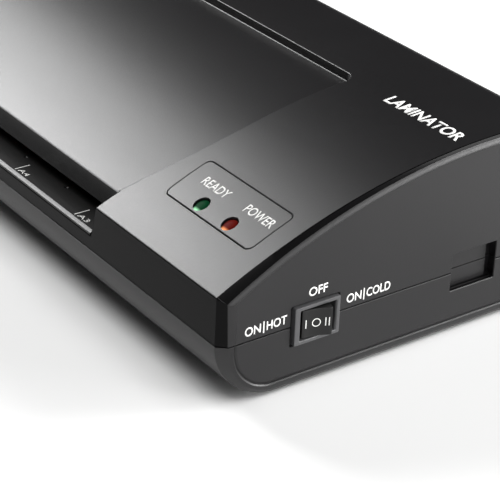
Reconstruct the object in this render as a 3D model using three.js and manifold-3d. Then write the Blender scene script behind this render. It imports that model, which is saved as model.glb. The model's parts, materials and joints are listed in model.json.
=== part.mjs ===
// Pouch laminator for sheets up to A3: a low casing with an arched top, a notched infeed at the front,
// two pairs of driven silicone rollers around a pair of heating plates, and an outfeed slot at the back.
// Millimetres. +X is the right end with the switch, +Y the feed direction, +Z up. The origin is on the
// resting surface under the centre of the casing.
import * as THREE from "three";
import { mergeVertices } from "three/addons/utils/BufferGeometryUtils.js";
import Module from "manifold-3d";

const wasm = await Module();
wasm.setup();

// ---- Driving dimensions ----
const HALF_WIDTH = 244;
const HALF_DEPTH = 73;
const HEIGHT = 75.4;
const FOOT_HEIGHT = 2;
const WALL = 2.5;
const GAP = 0.3;

const ARCH_RADIUS = 248;
const ARCH_CREST_Y = 48;
const ARCH_REAR_Y = 64;
const PARTING_Z = 25.4;
const FRONT_BOTTOM_RADIUS = 12;
const REAR_BOTTOM_RADIUS = 9;
const REAR_TOP_RADIUS = 8;
const END_CHAMFER = 2.4;

const INFEED_HALF_WIDTH = 162.3;
const INFEED_FLARE = 0.28;
const SLOT_HEIGHT = 5;
const TRAY_Z = 32.7;
const TRAY_THICKNESS = 1.6;
const TRAY_REAR_Y = -41;
const MOUTH_Y = -63.1;
const MOUTH_LEAN = 0.13;

const RECESS_FRONT_Y = -64.2;
const RECESS_REAR_Y = 30;
const RECESS_DEPTH = 3.4;
const RECESS_HALF_WIDTH = 177;

const LABEL_X = 207.8;
const LABEL_Y = -45.8;
const LABEL_WIDTH = 50.5;
const LABEL_LENGTH = 19.1;
const LABEL_CORNER = 2.5;
const LABEL_THICKNESS = 1.6;
const LABEL_RIM = 1.2;
const LED_Y = -51.1;
const READY_LED_X = 199.7;
const POWER_LED_X = 216.6;
const LED_HOLE_RADIUS = 2.9;
const LED_BOARD_Z = 43;

const SWITCH_Y = -33.3;
const SWITCH_WIDTH = 20.6;
const SWITCH_HEIGHT = 14.8;
const SWITCH_PROUD = 1.4;
const SWITCH_TILT = 16.5 * Math.PI / 180;
const SWITCH_DEPTH = 16;
const ROCKER_WIDTH = 14.2;
const ROCKER_HEIGHT = 10.8;
const POCKET_Y = 36.9;
const POCKET_DEPTH = 5;
const INLET_X = 200;
const INLET_Z = 14;
const INLET_WIDTH = 20;
const INLET_HEIGHT = 12;

const SCREW_PLACES = [[228, -8], [228, 57], [-228, -8], [-228, 57]];
const SCREW_RADIUS = 1.5;
const SCREW_HEAD_RADIUS = 3;
const SCREW_LENGTH = 12;
const COUNTERBORE_DEPTH = 2.6;
const BOSS_RADIUS = 3.6;
const FOOT_PLACES = [[208, -50], [208, 54], [-208, -50], [-208, 54]];
const FOOT_RADIUS = 7;
const FOOT_PEG_RADIUS = 2;

const FRAME_X = 180;
const FRAME_THICKNESS = 2;
const ROLLER_Y = 28;
const SHAFT_RADIUS = 4;
const SLEEVE_RADIUS = 10;
const SLEEVE_HALF_LENGTH = 170;
const BUSH_RADIUS = 8;
const BUSH_BLOCK = 12;
const SPRING_HEIGHT = 6.2;
const AXLE_RADIUS = 3;
const TIE_Y = 52;
const TIE_Z = 20;

const PLATE_HALF_LENGTH = 165;
const PLATE_HALF_DEPTH = 15.5;
const PLATE_THICKNESS = 8;
const PLATE_GAP = 3.4;
const SHIELD = 1;
const THERMOSTAT_X = 60;
const THERMOSTAT_RADIUS = 6.5;

const MODULE = 1.02;
const ROLLER_TEETH = 20;
const DRIVE_TEETH = 36;
const PINION_TEETH = 12;
const GEAR_WIDTH = 6;
const MOTOR_Y = 8;
const MOTOR_Z = 40;
const MOTOR_RADIUS = 22;
const MOTOR_LENGTH = 26;
const OUTPUT_RADIUS = 2.5;
const POST_PLACES = [[-13, 58], [35, 60]];

const BOARD_Z = 7;
const LED_LEAD = [
  [207.8, -47, 38.4], [207.8, -47, 30], [207.8, -40, 18], [207.8, -24, 11], [207.8, -4.6, 9],
];
const SWITCH_LEAD = [
  [220.5, -33.3, 25.4], [216, -33.3, 24], [213.5, -26, 16], [214.5, -14, 9], [214.5, -4.6, 8],
];

// ---- Derived places ----
const ROLLER_SPACING = MODULE * ROLLER_TEETH;
const FEED_Z = TRAY_Z + 1.5;
const LOWER_Z = FEED_Z - ROLLER_SPACING / 2;
const UPPER_Z = FEED_Z + ROLLER_SPACING / 2;
const DRIVE_DISTANCE = MODULE * (ROLLER_TEETH + DRIVE_TEETH) / 2;
const DRIVE_Z = LOWER_Z + Math.sqrt(DRIVE_DISTANCE ** 2 - ROLLER_Y ** 2);
const PINION_Z = DRIVE_Z + MODULE * (DRIVE_TEETH + PINION_TEETH) / 2;
const GEAR_X = -FRAME_X - FRAME_THICKNESS - 4 - GEAR_WIDTH / 2;
const ROOF_DROP = WALL + 0.2;
const ROCKER_PIVOT_X = HALF_WIDTH - 3;
const MOTOR_X = GEAR_X - GEAR_WIDTH / 2 - 3;

// ---- Solids: closed geometry in, closed geometry out ----
function solid(geometry) {
  const bare = geometry.clone();
  bare.deleteAttribute("normal");
  bare.deleteAttribute("uv");
  const merged = mergeVertices(bare, 1e-4);
  return new wasm.Manifold(new wasm.Mesh({
    numProp: 3,
    vertProperties: new Float32Array(merged.attributes.position.array),
    triVerts: new Uint32Array(merged.index.array),
  }));
}

function geometryOf(manifold) {
  const mesh = manifold.getMesh();
  const geometry = new THREE.BufferGeometry();
  geometry.setAttribute("position", new THREE.BufferAttribute(new Float32Array(mesh.vertProperties), 3));
  geometry.setIndex(new THREE.BufferAttribute(new Uint32Array(mesh.triVerts), 1));
  geometry.computeVertexNormals();
  return geometry;
}

function join(parts) {
  return parts.reduce((sum, part) => sum.add(part));
}

function cut(body, tools) {
  return tools.reduce((rest, tool) => rest.subtract(tool), body);
}

// A block between two corners.
function block(low, high) {
  const size = high.map((value, axis) => value - low[axis]);
  const geometry = new THREE.BoxGeometry(...size);
  geometry.translate(...low.map((value, axis) => value + size[axis] / 2));
  return solid(geometry);
}

// A block whose bottom and top rectangles differ: each is [x half width, y low, y high, z].
function taperedBlock(bottom, top) {
  const geometry = new THREE.BoxGeometry(2, 2, 2);
  const position = geometry.attributes.position;
  for (let i = 0; i < position.count; i += 1) {
    const [half, low, high, z] = position.getZ(i) < 0 ? bottom : top;
    position.setXYZ(i, position.getX(i) * half, position.getY(i) < 0 ? low : high, z);
  }
  return solid(geometry);
}

// A cylinder along an axis, from one place on that axis to another.
function rod(axis, from, to, centre, radius, sides = 20) {
  const geometry = new THREE.CylinderGeometry(radius, radius, to - from, sides);
  geometry.translate(0, (from + to) / 2, 0);
  if (axis === "x") {
    geometry.rotateZ(-Math.PI / 2);
    geometry.translate(0, centre[0], centre[1]);
  }
  if (axis === "y") {
    geometry.translate(centre[0], 0, centre[1]);
  }
  if (axis === "z") {
    geometry.rotateX(Math.PI / 2);
    geometry.translate(centre[0], centre[1], 0);
  }
  return solid(geometry);
}

// A (y, z) outline drawn out along X.
function alongX(outline, fromX, toX) {
  const shape = new THREE.Shape(outline.map(([y, z]) => new THREE.Vector2(y, z)));
  const geometry = new THREE.ExtrudeGeometry(shape, { depth: toX - fromX, bevelEnabled: false });
  const toFrame = new THREE.Matrix4().makeBasis(
    new THREE.Vector3(0, 1, 0), new THREE.Vector3(0, 0, 1), new THREE.Vector3(1, 0, 0));
  geometry.applyMatrix4(toFrame);
  geometry.translate(fromX, 0, 0);
  return solid(geometry);
}

// An (x, y) shape drawn up along Z.
function alongZ(shape, fromZ, toZ) {
  const geometry = new THREE.ExtrudeGeometry(
    shape, { depth: toZ - fromZ, bevelEnabled: false, curveSegments: 5 });
  geometry.translate(0, 0, fromZ);
  return solid(geometry);
}

function roundedRectangle(centreX, centreY, width, length, corner) {
  const right = centreX + width / 2;
  const left = centreX - width / 2;
  const back = centreY + length / 2;
  const front = centreY - length / 2;
  const shape = new THREE.Shape();
  shape.moveTo(left + corner, front);
  shape.lineTo(right - corner, front);
  shape.absarc(right - corner, front + corner, corner, -Math.PI / 2, 0);
  shape.lineTo(right, back - corner);
  shape.absarc(right - corner, back - corner, corner, 0, Math.PI / 2);
  shape.lineTo(left + corner, back);
  shape.absarc(left + corner, back - corner, corner, Math.PI / 2, Math.PI);
  shape.lineTo(left, front + corner);
  shape.absarc(left + corner, front + corner, corner, Math.PI, 1.5 * Math.PI);
  return shape;
}

// ---- The casing's outline ----
function archZ(y) {
  return HEIGHT - ARCH_RADIUS + Math.sqrt(ARCH_RADIUS ** 2 - (y - ARCH_CREST_Y) ** 2);
}

function arcPoints(centreY, centreZ, radius, fromAngle, toAngle, steps) {
  const points = [];
  for (let i = 0; i <= steps; i += 1) {
    const angle = fromAngle + (toAngle - fromAngle) * i / steps;
    points.push([centreY + radius * Math.cos(angle), centreZ + radius * Math.sin(angle)]);
  }
  return points;
}

// The side view of the casing, anticlockwise, pulled in by an inset. The outline is made of the arch and
// three round corners, so pulling it in only changes their radii.
function casingOutline(inset) {
  const front = -HALF_DEPTH + inset;
  const bottom = FOOT_HEIGHT + inset;
  const frontRadius = FRONT_BOTTOM_RADIUS - inset;
  const rearRadius = REAR_BOTTOM_RADIUS - inset;
  const topRadius = REAR_TOP_RADIUS - inset;
  const rearCentreY = HALF_DEPTH - REAR_TOP_RADIUS;
  const rearCentreZ = archZ(ARCH_REAR_Y) - REAR_TOP_RADIUS;
  const archCentreZ = HEIGHT - ARCH_RADIUS;
  const archRadius = ARCH_RADIUS - inset;
  const frontAngle = Math.PI - Math.acos((ARCH_CREST_Y - front) / archRadius);
  const rearAngle = Math.acos((rearCentreY - ARCH_CREST_Y) / archRadius);
  return [
    ...arcPoints(HALF_DEPTH - REAR_BOTTOM_RADIUS, FOOT_HEIGHT + REAR_BOTTOM_RADIUS, rearRadius,
      -Math.PI / 2, 0, 4),
    ...arcPoints(rearCentreY, rearCentreZ, topRadius, 0, Math.PI / 2, 4).slice(0, -1),
    ...arcPoints(ARCH_CREST_Y, archCentreZ, archRadius, rearAngle, frontAngle, 18),
    [front, bottom + frontRadius],
    ...arcPoints(front + frontRadius, bottom + frontRadius, frontRadius, Math.PI, 1.5 * Math.PI, 5)
      .slice(1),
  ];
}

// The casing as one closed block with chamfered ends.
function casingBlock(inset, halfWidth, chamfer) {
  const wide = casingOutline(inset);
  const narrow = casingOutline(inset + chamfer);
  const middle = alongX(wide, -halfWidth + chamfer, halfWidth - chamfer);
  if (chamfer === 0) {
    return middle;
  }
  const caps = [halfWidth, -halfWidth].map((endX) => endCap(wide, narrow, endX, chamfer));
  return join([middle, ...caps]);
}

// The wedge between the wide outline and the narrow one at one end.
function endCap(wide, narrow, endX, chamfer) {
  const count = wide.length;
  const side = Math.sign(endX);
  const positions = [];
  wide.forEach(([y, z]) => positions.push(endX - side * chamfer, y, z));
  narrow.forEach(([y, z]) => positions.push(endX, y, z));
  const faces = [];
  const addFace = (a, b, c) => faces.push(...(side > 0 ? [a, b, c] : [a, c, b]));
  for (let i = 0; i < count; i += 1) {
    const next = (i + 1) % count;
    addFace(i, next, count + i);
    addFace(next, count + next, count + i);
  }
  const flat = wide.map(([y, z]) => new THREE.Vector2(y, z));
  THREE.ShapeUtils.triangulateShape(flat, []).forEach(([a, b, c]) => addFace(a, c, b));
  const small = narrow.map(([y, z]) => new THREE.Vector2(y, z));
  THREE.ShapeUtils.triangulateShape(small, []).forEach(([a, b, c]) => {
    addFace(count + a, count + b, count + c);
  });
  const geometry = new THREE.BufferGeometry();
  geometry.setAttribute("position", new THREE.Float32BufferAttribute(positions, 3));
  geometry.setIndex(faces);
  return solid(geometry);
}

// ---- Cuts that the casing's shells share ----
// The infeed notch, open to the front and the top, with its end walls and back wall leaning outwards.
function notch(margin, bottomZ) {
  const topZ = HEIGHT + 20;
  const halfAt = (z) => INFEED_HALF_WIDTH + margin + INFEED_FLARE * (z - TRAY_Z);
  const rearAt = (z) => MOUTH_Y + margin - MOUTH_LEAN * (z - TRAY_Z - SLOT_HEIGHT);
  const front = -HALF_DEPTH - 20;
  return taperedBlock([halfAt(bottomZ), front, rearAt(bottomZ), bottomZ],
    [halfAt(topZ), front, rearAt(topZ), topZ]);
}

// The long shallow recess in the middle of the top, deeper towards the back, where it ends in a wall.
function topRecess(drop, margin) {
  const depthAt = (y) => RECESS_DEPTH * (y - RECESS_FRONT_Y) / (RECESS_REAR_Y - RECESS_FRONT_Y);
  const floor = [];
  const steps = 12;
  for (let i = 0; i <= steps; i += 1) {
    const y = RECESS_FRONT_Y + (RECESS_REAR_Y + margin - RECESS_FRONT_Y) * i / steps;
    floor.push([y, archZ(y) - depthAt(y) - drop]);
  }
  const above = HEIGHT + 10;
  const outline = [...floor, [RECESS_REAR_Y + margin, above], [RECESS_FRONT_Y, above]];
  const half = RECESS_HALF_WIDTH + margin;
  return alongX(outline, -half, half);
}

function switchHole(side, margin) {
  const halfWidth = SWITCH_WIDTH / 2 - 1 + margin;
  const halfHeight = SWITCH_HEIGHT / 2 - 1 + margin;
  return block([side * HALF_WIDTH - 30, SWITCH_Y - halfWidth, PARTING_Z - halfHeight],
    [side * HALF_WIDTH + 10, SWITCH_Y + halfWidth, PARTING_Z + halfHeight]);
}

function pocket(margin) {
  const halfWidth = SWITCH_WIDTH / 2 + margin;
  const halfHeight = SWITCH_HEIGHT / 2 + margin;
  return block([HALF_WIDTH - POCKET_DEPTH - margin, POCKET_Y - halfWidth, PARTING_Z - halfHeight],
    [HALF_WIDTH + 10, POCKET_Y + halfWidth, PARTING_Z + halfHeight]);
}

function inletHole() {
  return block([INLET_X - INLET_WIDTH / 2, HALF_DEPTH - 20, INLET_Z - INLET_HEIGHT / 2],
    [INLET_X + INLET_WIDTH / 2, HALF_DEPTH + 10, INLET_Z + INLET_HEIGHT / 2]);
}

// ---- Casing ----
function topCover() {
  const shell = casingBlock(0, HALF_WIDTH, END_CHAMFER);
  const aboveParting = block([-300, -100, PARTING_Z + GAP / 2], [300, 100, 100]);
  const inside = cut(casingBlock(WALL, HALF_WIDTH - WALL, 0), [
    notch(WALL, TRAY_Z + SLOT_HEIGHT - 0.01),
    topRecess(ROOF_DROP, WALL),
    pocket(1.6),
  ]);
  const bosses = SCREW_PLACES.map(([x, y]) => (
    rod("z", PARTING_Z + 1, archZ(y) - 1, [x, y], BOSS_RADIUS, 12)));
  const bores = SCREW_PLACES.map(([x, y]) => rod("z", 0, PARTING_Z + 10, [x, y], SCREW_RADIUS + 0.15, 10));
  const slot = block([-INFEED_HALF_WIDTH, -100, TRAY_Z - TRAY_THICKNESS - GAP],
    [INFEED_HALF_WIDTH, MOUTH_Y + 10, TRAY_Z + SLOT_HEIGHT]);
  const outfeed = block([-INFEED_HALF_WIDTH - 2, HALF_DEPTH - 15, TRAY_Z - 1.3],
    [INFEED_HALF_WIDTH + 2, HALF_DEPTH + 10, TRAY_Z + SLOT_HEIGHT]);
  const label = alongZ(roundedRectangle(LABEL_X, LABEL_Y, LABEL_WIDTH, LABEL_LENGTH, LABEL_CORNER), 30, 90);
  const labelSeat = label.subtract(belowArch(LABEL_THICKNESS));
  const window = block([LABEL_X - LABEL_WIDTH / 2 + LABEL_RIM, LABEL_Y - LABEL_LENGTH / 2 + LABEL_RIM, 30],
    [LABEL_X + LABEL_WIDTH / 2 - LABEL_RIM, LABEL_Y + LABEL_LENGTH / 2 - LABEL_RIM, 90]);
  const body = join([shell.subtract(inside), ...bosses.map((boss) => boss.intersect(shell))]);
  const upper = body.intersect(aboveParting);
  return cut(upper, [
    notch(0, TRAY_Z - TRAY_THICKNESS - GAP), topRecess(0, 0), slot, outfeed, labelSeat, window,
    switchHole(1, 0.15), pocket(0), ...bores,
  ]);
}

// Everything below a surface parallel to the arch.
function belowArch(drop) {
  const outline = casingOutline(drop);
  return alongX(outline, -300, 300);
}

function bottomHousing() {
  const shell = casingBlock(0, HALF_WIDTH, END_CHAMFER);
  const belowParting = block([-300, -100, -10], [300, 100, PARTING_Z - GAP / 2]);
  const inside = casingBlock(WALL, HALF_WIDTH - WALL, 0).subtract(pocket(1.6));
  const posts = SCREW_PLACES.map(([x, y]) => rod("z", FOOT_HEIGHT + 1, PARTING_Z - 3, [x, y], 4.6, 12));
  const body = join([shell.subtract(inside), ...posts]).intersect(belowParting);
  const bores = SCREW_PLACES.map(([x, y]) => rod("z", -5, 40, [x, y], SCREW_RADIUS + 0.15, 10));
  const counterbores = SCREW_PLACES.map(([x, y]) => (
    rod("z", -5, FOOT_HEIGHT + COUNTERBORE_DEPTH, [x, y], SCREW_HEAD_RADIUS + 0.3, 14)));
  const footHoles = FOOT_PLACES.map(([x, y]) => rod("z", -5, 8, [x, y], FOOT_PEG_RADIUS + 0.15, 10));
  const vents = [];
  for (let column = -4; column <= 4; column += 1) {
    vents.push(block([column * 22 - 7, -14, -5], [column * 22 + 7, -11, 8]));
    vents.push(block([column * 22 - 7, 11, -5], [column * 22 + 7, 14, 8]));
  }
  return cut(body, [
    ...bores, ...counterbores, ...footHoles, ...vents, switchHole(1, 0.15), pocket(0), inletHole(),
  ]);
}

function infeedTray() {
  const front = -HALF_DEPTH;
  const top = TRAY_Z;
  const bottom = TRAY_Z - TRAY_THICKNESS;
  const lip = 0.8;
  const outline = [
    ...arcPoints(front + lip, bottom + lip, lip, Math.PI, 1.5 * Math.PI, 3),
    [TRAY_REAR_Y, bottom],
    [TRAY_REAR_Y, top - 0.4],
    [TRAY_REAR_Y - 3, top],
    [front + 2.6, top],
    ...arcPoints(front + 1.2, top - 0.7, 1.2, Math.PI / 3, Math.PI, 4),
  ];
  const half = INFEED_HALF_WIDTH - GAP - INFEED_FLARE * TRAY_THICKNESS;
  return alongX(outline, -half, half);
}

// The inlay that carries the two status lights, with a hole for each of them.
function indicatorPanel() {
  const shape = roundedRectangle(LABEL_X, LABEL_Y, LABEL_WIDTH - 2 * GAP, LABEL_LENGTH - 2 * GAP,
    LABEL_CORNER - GAP);
  const column = alongZ(shape, 30, 90);
  const skin = belowArch(0).subtract(belowArch(LABEL_THICKNESS - GAP));
  const holes = [READY_LED_X, POWER_LED_X].map((x) => rod("z", 30, 90, [x, LED_Y], LED_HOLE_RADIUS, 16));
  return cut(column.intersect(skin), holes);
}

function statusLight(x) {
  const radius = LED_HOLE_RADIUS - GAP;
  const topZ = archZ(LED_Y) - 1.6;
  const dome = new THREE.SphereGeometry(radius, 14, 8);
  dome.rotateX(Math.PI / 2);
  dome.translate(x, LED_Y, topZ - radius);
  return join([solid(dome), rod("z", LED_BOARD_Z + 1.6 + GAP, topZ - radius, [x, LED_Y], radius, 14)]);
}

function ledBoard() {
  const plate = block([READY_LED_X - 12, LED_Y - 5, LED_BOARD_Z],
    [POWER_LED_X + 12, LED_Y + 9, LED_BOARD_Z + 1.6]);
  const plug = block([LABEL_X - 5, LED_Y + 1, LED_BOARD_Z - 4],
    [LABEL_X + 5, LED_Y + 7, LED_BOARD_Z + 0.5]);
  return plate.add(plug);
}

// ---- Switch and mains inlet ----

function switchBody() {
  const outer = HALF_WIDTH + SWITCH_PROUD;
  const halfWidth = SWITCH_WIDTH / 2;
  const halfHeight = SWITCH_HEIGHT / 2;
  const bezel = block([HALF_WIDTH + GAP, SWITCH_Y - halfWidth, PARTING_Z - halfHeight],
    [outer, SWITCH_Y + halfWidth, PARTING_Z + halfHeight]);
  const body = block([HALF_WIDTH - SWITCH_DEPTH, SWITCH_Y - halfWidth + 1.2, PARTING_Z - halfHeight + 1.2],
    [HALF_WIDTH + 1, SWITCH_Y + halfWidth - 1.2, PARTING_Z + halfHeight - 1.2]);
  const well = block(
    [HALF_WIDTH - 9, SWITCH_Y - ROCKER_WIDTH / 2 - GAP, PARTING_Z - ROCKER_HEIGHT / 2 - GAP],
    [outer + 5, SWITCH_Y + ROCKER_WIDTH / 2 + GAP, PARTING_Z + ROCKER_HEIGHT / 2 + GAP],
  );
  const tabs = [-6, 0, 6].map((offset) => (
    block([HALF_WIDTH - SWITCH_DEPTH - 7, SWITCH_Y + offset - 0.4, PARTING_Z - 2.4],
      [HALF_WIDTH - SWITCH_DEPTH + 0.5, SWITCH_Y + offset + 0.4, PARTING_Z + 2.4])));
  return join([bezel, body, ...tabs]).subtract(well);
}

// The rocker in its middle position: a shallow V across the face, and a round belly about the pivot.
function rockerGeometry() {
  const half = ROCKER_WIDTH / 2 - 1.65;
  const outline = [
    [0, 4.5],
    [half, 5.5],
    [half + 0.3, 3.4],
    [half - 1.5, -1.4],
    [2.2, -4],
    [-2.2, -4],
    [-half + 1.5, -1.4],
    [-half - 0.3, 3.4],
    [-half, 5.5],
  ];
  const shape = new THREE.Shape(outline.map(([y, x]) => new THREE.Vector2(x, y)));
  const geometry = new THREE.ExtrudeGeometry(shape, { depth: ROCKER_HEIGHT, bevelEnabled: false });
  geometry.translate(0, 0, -ROCKER_HEIGHT / 2);
  return geometryOf(solid(geometry));
}

function mainsInlet() {
  const rear = HALF_DEPTH;
  const halfWidth = INLET_WIDTH / 2;
  const halfHeight = INLET_HEIGHT / 2;
  const body = block([INLET_X - halfWidth + GAP, rear - 17, INLET_Z - halfHeight + GAP],
    [INLET_X + halfWidth - GAP, rear - GAP, INLET_Z + halfHeight - GAP]);
  const socket = block([INLET_X - 8, rear - 13, INLET_Z - 4.2], [INLET_X + 8, rear + 5, INLET_Z + 4.2]);
  const pins = [-3.3, 3.3].map((offset) => (
    rod("y", rear - 14, rear - 3, [INLET_X + offset, INLET_Z], 1.2, 10)));
  return join([body.subtract(socket), ...pins]);
}

function controlBoard() {
  const board = block([190, -4, BOARD_Z], [222, 48, BOARD_Z + 1.6]);
  const chips = [
    block([194, 2, BOARD_Z + 1], [206, 16, BOARD_Z + 13]),
    block([210, 4, BOARD_Z + 1], [219, 24, BOARD_Z + 10]),
    block([194, 22, BOARD_Z + 1], [204, 40, BOARD_Z + 6]),
    rod("z", BOARD_Z + 1, BOARD_Z + 14, [214, 36], 4, 14),
  ];
  return join([board, ...chips]);
}

// ---- Chassis ----
// One steel side plate: a foot flange on the casing's floor, round seats for the lower bushes and upright
// guides for the sliding upper ones.
function sideFrame(side) {
  const floor = FOOT_HEIGHT + WALL + GAP;
  const outline = [
    [-49, floor], [60, floor], [60, 66], [12, 66], [0, 65], [-10, 63.5], [-22, 61], [-34.5, 58.2],
    [-46, 52], [-60, 40], [-60, 9],
  ];
  const inner = side * FRAME_X;
  const outer = side * (FRAME_X + FRAME_THICKNESS);
  const plate = alongX(outline, Math.min(inner, outer), Math.max(inner, outer));
  const flangeEdge = side * (FRAME_X - 12);
  const flange = block([Math.min(flangeEdge, outer), -49, floor],
    [Math.max(flangeEdge, outer), 60, floor + 1.6]);
  const guideTop = UPPER_Z + BUSH_BLOCK / 2 + SPRING_HEIGHT;
  const guides = [-ROLLER_Y, ROLLER_Y].map((y) => (
    block([-300, y - BUSH_BLOCK / 2 - GAP, UPPER_Z - BUSH_BLOCK / 2 - GAP],
      [300, y + BUSH_BLOCK / 2 + GAP, guideTop + GAP])));
  const seats = [-ROLLER_Y, ROLLER_Y].map((y) => rod("x", -300, 300, [y, LOWER_Z], BUSH_RADIUS + GAP, 20));
  const axleHole = rod("x", -300, 300, [0, DRIVE_Z], AXLE_RADIUS + 0.2, 14);
  return cut(plate.add(flange), [...guides, ...seats, ...(side < 0 ? [axleHole] : [])]);
}

function tieBar(y) {
  return rod("x", -FRAME_X + GAP, FRAME_X - GAP, [y, TIE_Z], 4, 14);
}

// ---- Heating ----

function heatingPlate(side) {
  const face = FEED_Z + side * PLATE_GAP / 2;
  const back = face + side * PLATE_THICKNESS;
  const low = Math.min(face, back);
  const high = Math.max(face, back);
  const plate = block([-PLATE_HALF_LENGTH, -PLATE_HALF_DEPTH, low],
    [PLATE_HALF_LENGTH, PLATE_HALF_DEPTH, high]);
  const ears = [-1, 1].map((end) => (
    block([end > 0 ? PLATE_HALF_LENGTH - 1 : -FRAME_X + GAP, -6, low + 2],
      [end > 0 ? FRAME_X - GAP : -PLATE_HALF_LENGTH + 1, 6, low + 6])));
  const channel = rod("x", -200, 200, [0, (low + high) / 2], 1.6, 10);
  const grooves = [-9, 9].map((y) => (
    block([-200, y - 2, back - 2], [200, y + 2, back + 2])));
  return cut(join([plate, ...ears]), [channel, ...grooves]);
}

function heatShield(side) {
  const back = FEED_Z + side * (PLATE_GAP / 2 + PLATE_THICKNESS + 1);
  const edge = FEED_Z + side * (PLATE_GAP / 2 + 3);
  const outerY = PLATE_HALF_DEPTH + GAP + SHIELD;
  const low = Math.min(back + side * SHIELD, edge);
  const high = Math.max(back + side * SHIELD, edge);
  const hull = block([-PLATE_HALF_LENGTH, -outerY, low], [PLATE_HALF_LENGTH, outerY, high]);
  const hollowLow = side > 0 ? low - 5 : back;
  const hollowHigh = side > 0 ? back : high + 5;
  const hollow = block([-200, -outerY + SHIELD, hollowLow], [200, outerY - SHIELD, hollowHigh]);
  const hole = rod("z", back - 3, back + 3, [THERMOSTAT_X, 0], THERMOSTAT_RADIUS + 0.6, 16);
  return side > 0 ? cut(hull, [hollow, hole]) : hull.subtract(hollow);
}

function thermostat() {
  const seat = FEED_Z + PLATE_GAP / 2 + PLATE_THICKNESS + GAP;
  const can = rod("z", seat, seat + 3, [THERMOSTAT_X, 0], THERMOSTAT_RADIUS, 16);
  const base = rod("z", seat + 2.5, seat + 7, [THERMOSTAT_X, 0], THERMOSTAT_RADIUS - 1, 16);
  const tabs = [-4, 4].map((offset) => (
    block([THERMOSTAT_X + offset * 1.6 - 3, -1.6, seat + 5.4],
      [THERMOSTAT_X + offset * 1.6 + 3, 1.6, seat + 6.2])));
  return join([can, base, ...tabs]);
}

// ---- Rollers ----
function rollerShaft() {
  return rod("x", GEAR_X - GEAR_WIDTH / 2 - 1.5, FRAME_X + FRAME_THICKNESS + 4, [0, 0], SHAFT_RADIUS, 20);
}

function rollerSleeve() {
  const sleeve = rod("x", -SLEEVE_HALF_LENGTH, SLEEVE_HALF_LENGTH, [0, 0], SLEEVE_RADIUS, 32);
  return sleeve.subtract(rod("x", -200, 200, [0, 0], SHAFT_RADIUS + 0.15, 20));
}

function lowerBush(side) {
  const inner = side * (FRAME_X - 3);
  const outer = side * (FRAME_X + FRAME_THICKNESS + 1.5);
  const flange = side * (FRAME_X - GAP);
  const barrel = rod("x", Math.min(inner, outer), Math.max(inner, outer), [0, 0], BUSH_RADIUS, 20);
  const collar = rod("x", Math.min(inner, flange), Math.max(inner, flange), [0, 0], BUSH_RADIUS + 1.6, 20);
  return join([barrel, collar]).subtract(rod("x", -200, 200, [0, 0], SHAFT_RADIUS + 0.15, 20));
}

function upperBush(side) {
  const inner = side * (FRAME_X - 3);
  const outer = side * (FRAME_X + FRAME_THICKNESS + 1.5);
  const collarEdge = side * (FRAME_X - GAP);
  const half = BUSH_BLOCK / 2;
  const slide = block([Math.min(inner, outer), -half, -half], [Math.max(inner, outer), half, half]);
  const collar = block([Math.min(inner, collarEdge), -half - 1.6, -half],
    [Math.max(inner, collarEdge), half + 1.6, half]);
  return join([slide, collar]).subtract(rod("x", -200, 200, [0, 0], SHAFT_RADIUS + 0.15, 20));
}

class Helix extends THREE.Curve {
  constructor(radius, height, turns) {
    super();
    this.radius = radius;
    this.height = height;
    this.turns = turns;
  }

  getPoint(t, target = new THREE.Vector3()) {
    const angle = 2 * Math.PI * this.turns * t;
    return target.set(this.radius * Math.cos(angle), this.radius * Math.sin(angle), this.height * t);
  }
}

// A compression spring of round wire between its seats.
function pressureSpring() {
  const wire = 0.5;
  const turns = 3;
  const ring = new THREE.Shape();
  ring.absarc(0, 0, wire, 0, 2 * Math.PI);
  const path = new Helix(1.9, SPRING_HEIGHT - 2 * wire - 2 * GAP, turns);
  const geometry = new THREE.ExtrudeGeometry(
    ring, { steps: turns * 9, curveSegments: 3, extrudePath: path, bevelEnabled: false });
  geometry.translate(0, 0, wire + GAP);
  return solid(geometry);
}

// ---- Gears ----
// Straight-sided teeth, thinned for backlash. The phase is the angle of one tooth's middle, from +Y to +Z.
function gear(teeth, phase, boreRadius) {
  const pitchRadius = MODULE * teeth / 2;
  const root = pitchRadius - 1.15 * MODULE;
  const tip = pitchRadius + 0.85 * MODULE;
  const step = 2 * Math.PI / teeth;
  const outline = [];
  for (let i = 0; i < teeth; i += 1) {
    const middle = phase + i * step;
    [[-0.3, root], [-0.1, tip], [0.1, tip], [0.3, root]].forEach(([offset, radius]) => {
      const angle = middle + offset * step;
      outline.push([radius * Math.cos(angle), radius * Math.sin(angle)]);
    });
  }
  const wheel = alongX(outline, -GEAR_WIDTH / 2, GEAR_WIDTH / 2);
  return boreRadius > 0 ? wheel.subtract(rod("x", -20, 20, [0, 0], boreRadius, 16)) : wheel;
}

// The phase that meshes a gear with its driver, whose own phase is known.
function meshPhase(driver, driverTeeth, driverPhase, follower, followerTeeth) {
  const direction = Math.atan2(follower[1] - driver[1], follower[0] - driver[0]);
  const driverStep = 2 * Math.PI / driverTeeth;
  const toothsPast = (direction - driverPhase) / driverStep;
  return direction + Math.PI - (0.5 - toothsPast) * 2 * Math.PI / followerTeeth;
}

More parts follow.
